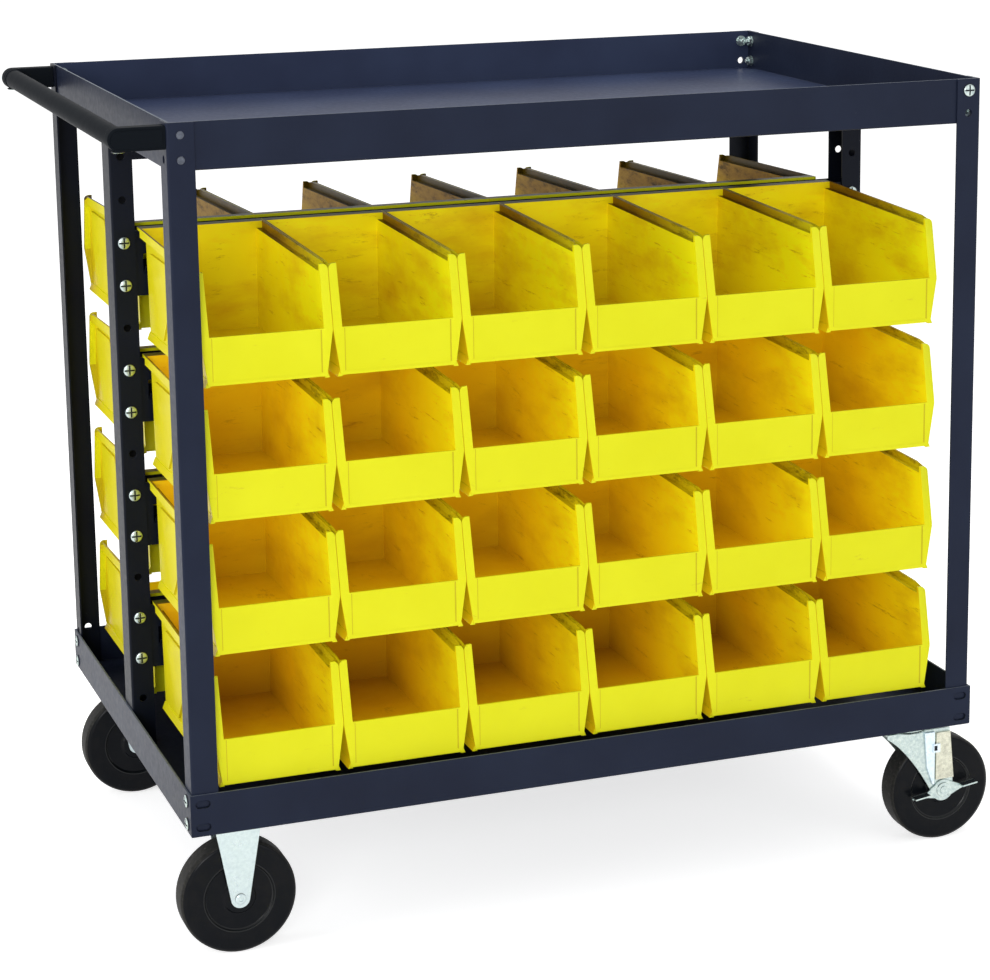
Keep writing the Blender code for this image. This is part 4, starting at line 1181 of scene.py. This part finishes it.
def fork_mesh():
    """The fork and its upper race from the middle of the crown's top face, trailing towards +X."""
    drop = WHEEL_RADIUS - CROWN_LEVEL
    outer = LEG_OUTSIDE
    foot = arc((SWIVEL_TRAIL, drop), FORK_FOOT_RADIUS, 200, 375, 20)
    sweep = bezier((-CROWN_FRONT, -2 * CASTER_SHEET), *FORK_SWEEP, foot[0], 12)
    outline = [(-CROWN_FRONT, 0), *sweep, *foot[1:], (CROWN_BACK, 0)]
    crown = round_rect((-CROWN_FRONT, -outer), (CROWN_BACK, outer), CROWN_ROUND)
    bore = prism("bore", circle((0, 0), AXLE_RADIUS + GAP), "Z", -OVERRUN, OVERRUN)
    hole = circle((SWIVEL_TRAIL, drop), AXLE_RADIUS + GAP)
    cross = prism("cross", hole, "Y", -outer - OVERRUN, outer + OVERRUN)
    crown = prism("fork", crown, "Z", -CASTER_SHEET, 0)
    fork = worked(crown, adds=[both_legs(outline)], cuts=[bore, cross], bevel=PRESSED)
    race = lathe("race", [
        (-0.0005, RACE_RADIUS - 0.0020),
        (0.0000, RACE_RADIUS - 0.0004),
        (0.0006, RACE_RADIUS),
        (0.0013, RACE_RADIUS - 0.0004),
        (0.0017, RACE_RADIUS - 0.0016),
        (0.0017, AXLE_RADIUS + GAP),
        (-0.0005, AXLE_RADIUS + GAP),
    ], 48, "Z", ring=True)
    return joined("fork", [fork, race])


def swivel_plate(drop):
    """The plate with its lower race and kingpin, from the middle of its top. The crown lies at drop."""
    plate, nuts = plate_mesh()
    race = lathe("race", [
        (-CASTER_SHEET / 2, 0.0300),
        (-CASTER_SHEET - 0.0010, 0.0298),
        (-CASTER_SHEET - 0.0030, 0.0288),
        (drop + 0.0030, RACE_RADIUS),
        (drop + 0.0020, RACE_RADIUS - 0.0014),
        (drop + 0.0020, AXLE_RADIUS),
    ], 48, "Z")
    pin = lathe("kingpin", [
        (drop + 0.0040, AXLE_RADIUS),
        (drop - CASTER_SHEET - GAP, AXLE_RADIUS),
        (drop - CASTER_SHEET - GAP, 0.0098),
        (drop - CASTER_SHEET - 0.0020, 0.0098),
        (drop - CASTER_SHEET - 0.0033, 0.0080),
    ], 32, "Z")
    mesh = joined("swivel_plate", [worked(plate, bevel=PRESSED), race, pin, *nuts])
    soften(mesh)
    return mesh


def fork_trim():
    """A pressed rib, a strap and a tab with a square hole."""
    outer = LEG_OUTSIDE

    def square(name, corners, start, end):
        (x, z), (far_x, far_z) = corners
        return block(name, (x, -outer - start, z), (far_x, -outer - end, far_z))

    def raised(name, outline, start, end, **rounding):
        return worked(prism(name, outline, "Y", -outer - start, -outer - end), **rounding)

    edge, hole = 0.8 * PRESSED, square("hole", TAB_HOLE, 0.0080, 0.0)
    pieces = (
        (raised("rib", FORK_RIB, 0.0028, -0.0008, bevel=0.0012, segments=4), BLUE_ZINC),
        (raised("strap", STRAP, 0.0024, -0.0005, bevel=edge), CREAM_ZINC),
        (raised("tab", TAB, 0.0042, 0.0020, cuts=[hole], bevel=edge), BLUE_ZINC),
        # A dark block behind the tab's hole, a painted shade.
        (square("shade", TAB_SHADE, 0.0034, 0.0022), ZINC_SHADE),
    )
    for number, (piece, material) in enumerate(pieces):
        for face in piece.polygons:
            face.material_index = number
    mesh = joined("caster_trim", [piece for piece, material in pieces])
    coat(mesh, *[material for piece, material in pieces])
    soften(mesh)
    return mesh


def lever_mesh():
    """The bow-tie foot brake on the -Y side of the axle, with a pad bent out at each end."""
    inner = LEG_OUTSIDE + GAP
    root = LEVER_HALF - PAD_LENGTH
    tip = LEVER_TIP
    outline = [(LEVER_HALF, tip), (root, tip), *arc((0, 0), LEVER_HUB, 45, 135, 12), (-root, tip)]
    outline += [(-LEVER_HALF, tip), (-LEVER_HALF, -tip), (-root, -2.5 * tip)]
    outline += [*arc((0, 0), LEVER_HUB, 225, 315, 12), (root, -2.5 * tip), (LEVER_HALF, -tip)]
    body = prism("lever", outline, "Y", -inner - LEVER_SHEET, -inner)
    pads = []
    for start, end in ((-LEVER_HALF, -root), (root, LEVER_HALF)):
        low = (start, -inner - PAD_REACH, tip - LEVER_SHEET)
        pads.append(block("pad", low, (end, -inner - LEVER_SHEET / 2, tip)))
    bore = prism("bore", circle((0, 0), AXLE_RADIUS + GAP), "Y", -inner - OVERRUN, -inner + OVERRUN)
    mesh = worked(body, adds=[joined("pads", pads)], cuts=[bore], bevel=PRESSED)
    for face in mesh.polygons:
        face.material_index = int(face.normal.z > 0.7 and face.center.y < -inner - LEVER_SHEET)
    pin = lathe("stop_pin", [(-inner - rise, radius) for rise, radius in STOP_PIN], 16, "Y")
    mesh = moved(joined("lever", [mesh, moved(pin, PIN_PLACE)]), turn=Matrix.Rotation(-LEVER_TILT, 4, "Y"))
    coat(mesh, ZINC, ZINC_SHADE)
    soften(mesh)
    return mesh


def axle_bolt():
    """The axle bolt, with a washer and a round nut outside the lever and a low head on the other side."""
    near, far = -LEG_OUTSIDE - 2 * GAP - LEVER_SHEET, LEG_OUTSIDE + GAP
    profile = [(near - rise, radius) for rise, radius in AXLE_NUT]
    profile += [(near, AXLE_RADIUS), (far, AXLE_RADIUS)]
    profile += [(far + rise, radius) for rise, radius in AXLE_HEAD]
    return lathe("axle_bolt", profile, 40, "Y")


def make_swivel_casters():
    wheel, fork = wheel_mesh(), fork_mesh()
    for side in SIDES:
        node, body = f"swivel_caster_{side}", f"swivel_{side}"
        top = top_middle(f"{node}_plate")
        plate = swivel_plate(CROWN_LEVEL - top.z)
        show(f"{node}_plate_pressing", plate, "zinc_plate", [f"{node}_plate"], top)
        crown = Vector((top.x, top.y, CROWN_LEVEL))
        show(f"{node}_fork_pressing", fork.copy(), "zinc_plate", [f"{node}_fork"], crown, body)
        place = middle(f"{node}_wheel")
        show(f"{node}_wheel_moulding", wheel, "wheel_black", [f"{node}_wheel"], place, f"swivel_wheel_{side}")
        pieces = [fork_trim(), lever_mesh(), axle_bolt()]
        if side == "rear":
            pieces = [mirrored(piece, 1) for piece in pieces]
        trim, lever, bolt = pieces
        axle = crown + Vector((SWIVEL_TRAIL, 0, WHEEL_RADIUS - CROWN_LEVEL))
        show(f"{node}_strap", trim, "zinc_plate", (), axle, body)
        show(f"{node}_brake_pressing", lever, "zinc_plate", [f"{node}_brake"], axle, f"brake_{side}")
        show(f"{node}_axle_bolt", bolt, "zinc_plate", [f"{node}_axle"], axle, body)


# Camera, light and floor

def make_camera():
    turn_y, turn_p, turn_r = CAMERA_YAW, CAMERA_PITCH, CAMERA_ROLL
    level = Vector((math.sin(turn_y), math.cos(turn_y), 0.0))
    forward = math.cos(turn_p) * level + Vector((0.0, 0.0, math.sin(turn_p)))
    right = Vector((math.cos(turn_y), -math.sin(turn_y), 0.0))
    up = right.cross(forward)
    across = math.cos(turn_r) * right + math.sin(turn_r) * up
    above = math.cos(turn_r) * up - math.sin(turn_r) * right
    data = bpy.data.cameras.new("camera")
    data.sensor_width = SENSOR_WIDTH
    data.lens = SENSOR_WIDTH * FOCAL_PIXELS / IMAGE_WIDTH
    data.shift_x = SHIFT_PIXELS[0] / IMAGE_WIDTH
    data.shift_y = SHIFT_PIXELS[1] / IMAGE_WIDTH
    data.clip_end = CAMERA_END
    cam = add_object("camera", data)
    rotation = Matrix((across, above, -forward)).transposed().to_4x4()
    cam.matrix_world = Matrix.Translation(CAMERA_PLACE) @ rotation
    SCENE.camera = cam


def make_lamps():
    for name, place, aim, size, watts in LAMPS:
        data = bpy.data.lights.new(name, "AREA")
        data.shape = "RECTANGLE"
        data.size, data.size_y = size
        data.energy = watts
        lamp = add_object(name, data)
        lamp.location = place
        lamp.rotation_mode = "QUATERNION"
        lamp.rotation_quaternion = (Vector(aim) - Vector(place)).to_track_quat("-Z", "Y")


def seen_by_camera(mat):
    """1 where the camera or a mirror-like or clear surface looks, and 0 where light only bounces."""
    path = add_node(mat, "ShaderNodeLightPath")
    total = path.outputs["Is Camera Ray"]
    for name in ("Is Glossy Ray", "Is Transmission Ray"):
        total = maths(mat, "MAXIMUM", total, path.outputs[name])
    return total


def make_stage():
    """A white floor that keeps the object's shadow, and a white world behind it."""
    corners = [(-FLOOR_HALF, -FLOOR_HALF, 0), (FLOOR_HALF, -FLOOR_HALF, 0)]
    corners += [(FLOOR_HALF, FLOOR_HALF, 0), (-FLOOR_HALF, FLOOR_HALF, 0)]
    floor = add_object("floor", mesh_of("floor", corners, [(0, 1, 2, 3)]))
    mat, shader = base_material("floor", (0.90, 0.90, 0.90), 0.8, Specular_IOR_Level=0.0)
    feed(mat, (1, 1, 1, 1), shader.inputs["Emission Color"])
    feed(mat, maths(mat, "MULTIPLY", seen_by_camera(mat), FLOOR_GLOW), shader.inputs["Emission Strength"])
    coat(floor.data, mat)
    world = bpy.data.worlds.new("studio")
    SCENE.world = world
    world.use_nodes = True
    back = world.node_tree.nodes["Background"]
    feed(world, (1, 1, 1, 1), back.inputs["Color"])
    split = add_node(world, "ShaderNodeSeparateXYZ")
    feed(world, add_node(world, "ShaderNodeTexCoord").outputs["Generated"], split.inputs[0])
    dim = map_range(world, split.outputs["Y"], -1.0, 1.0, WORLD_FRONT, WORLD_BACK)
    feed(world, map_range(world, seen_by_camera(world), 0.0, 1.0, dim, 1.0), back.inputs["Strength"])
    SCENE.view_settings.view_transform = "Standard"


make_camera()
make_stage()
make_lamps()
make_posts()
make_centre_posts()
make_top_tray()
make_lower_shelf()
make_plain_pieces()
make_bins()
make_handle()
make_rigid_casters()
make_swivel_casters()
make_screws()
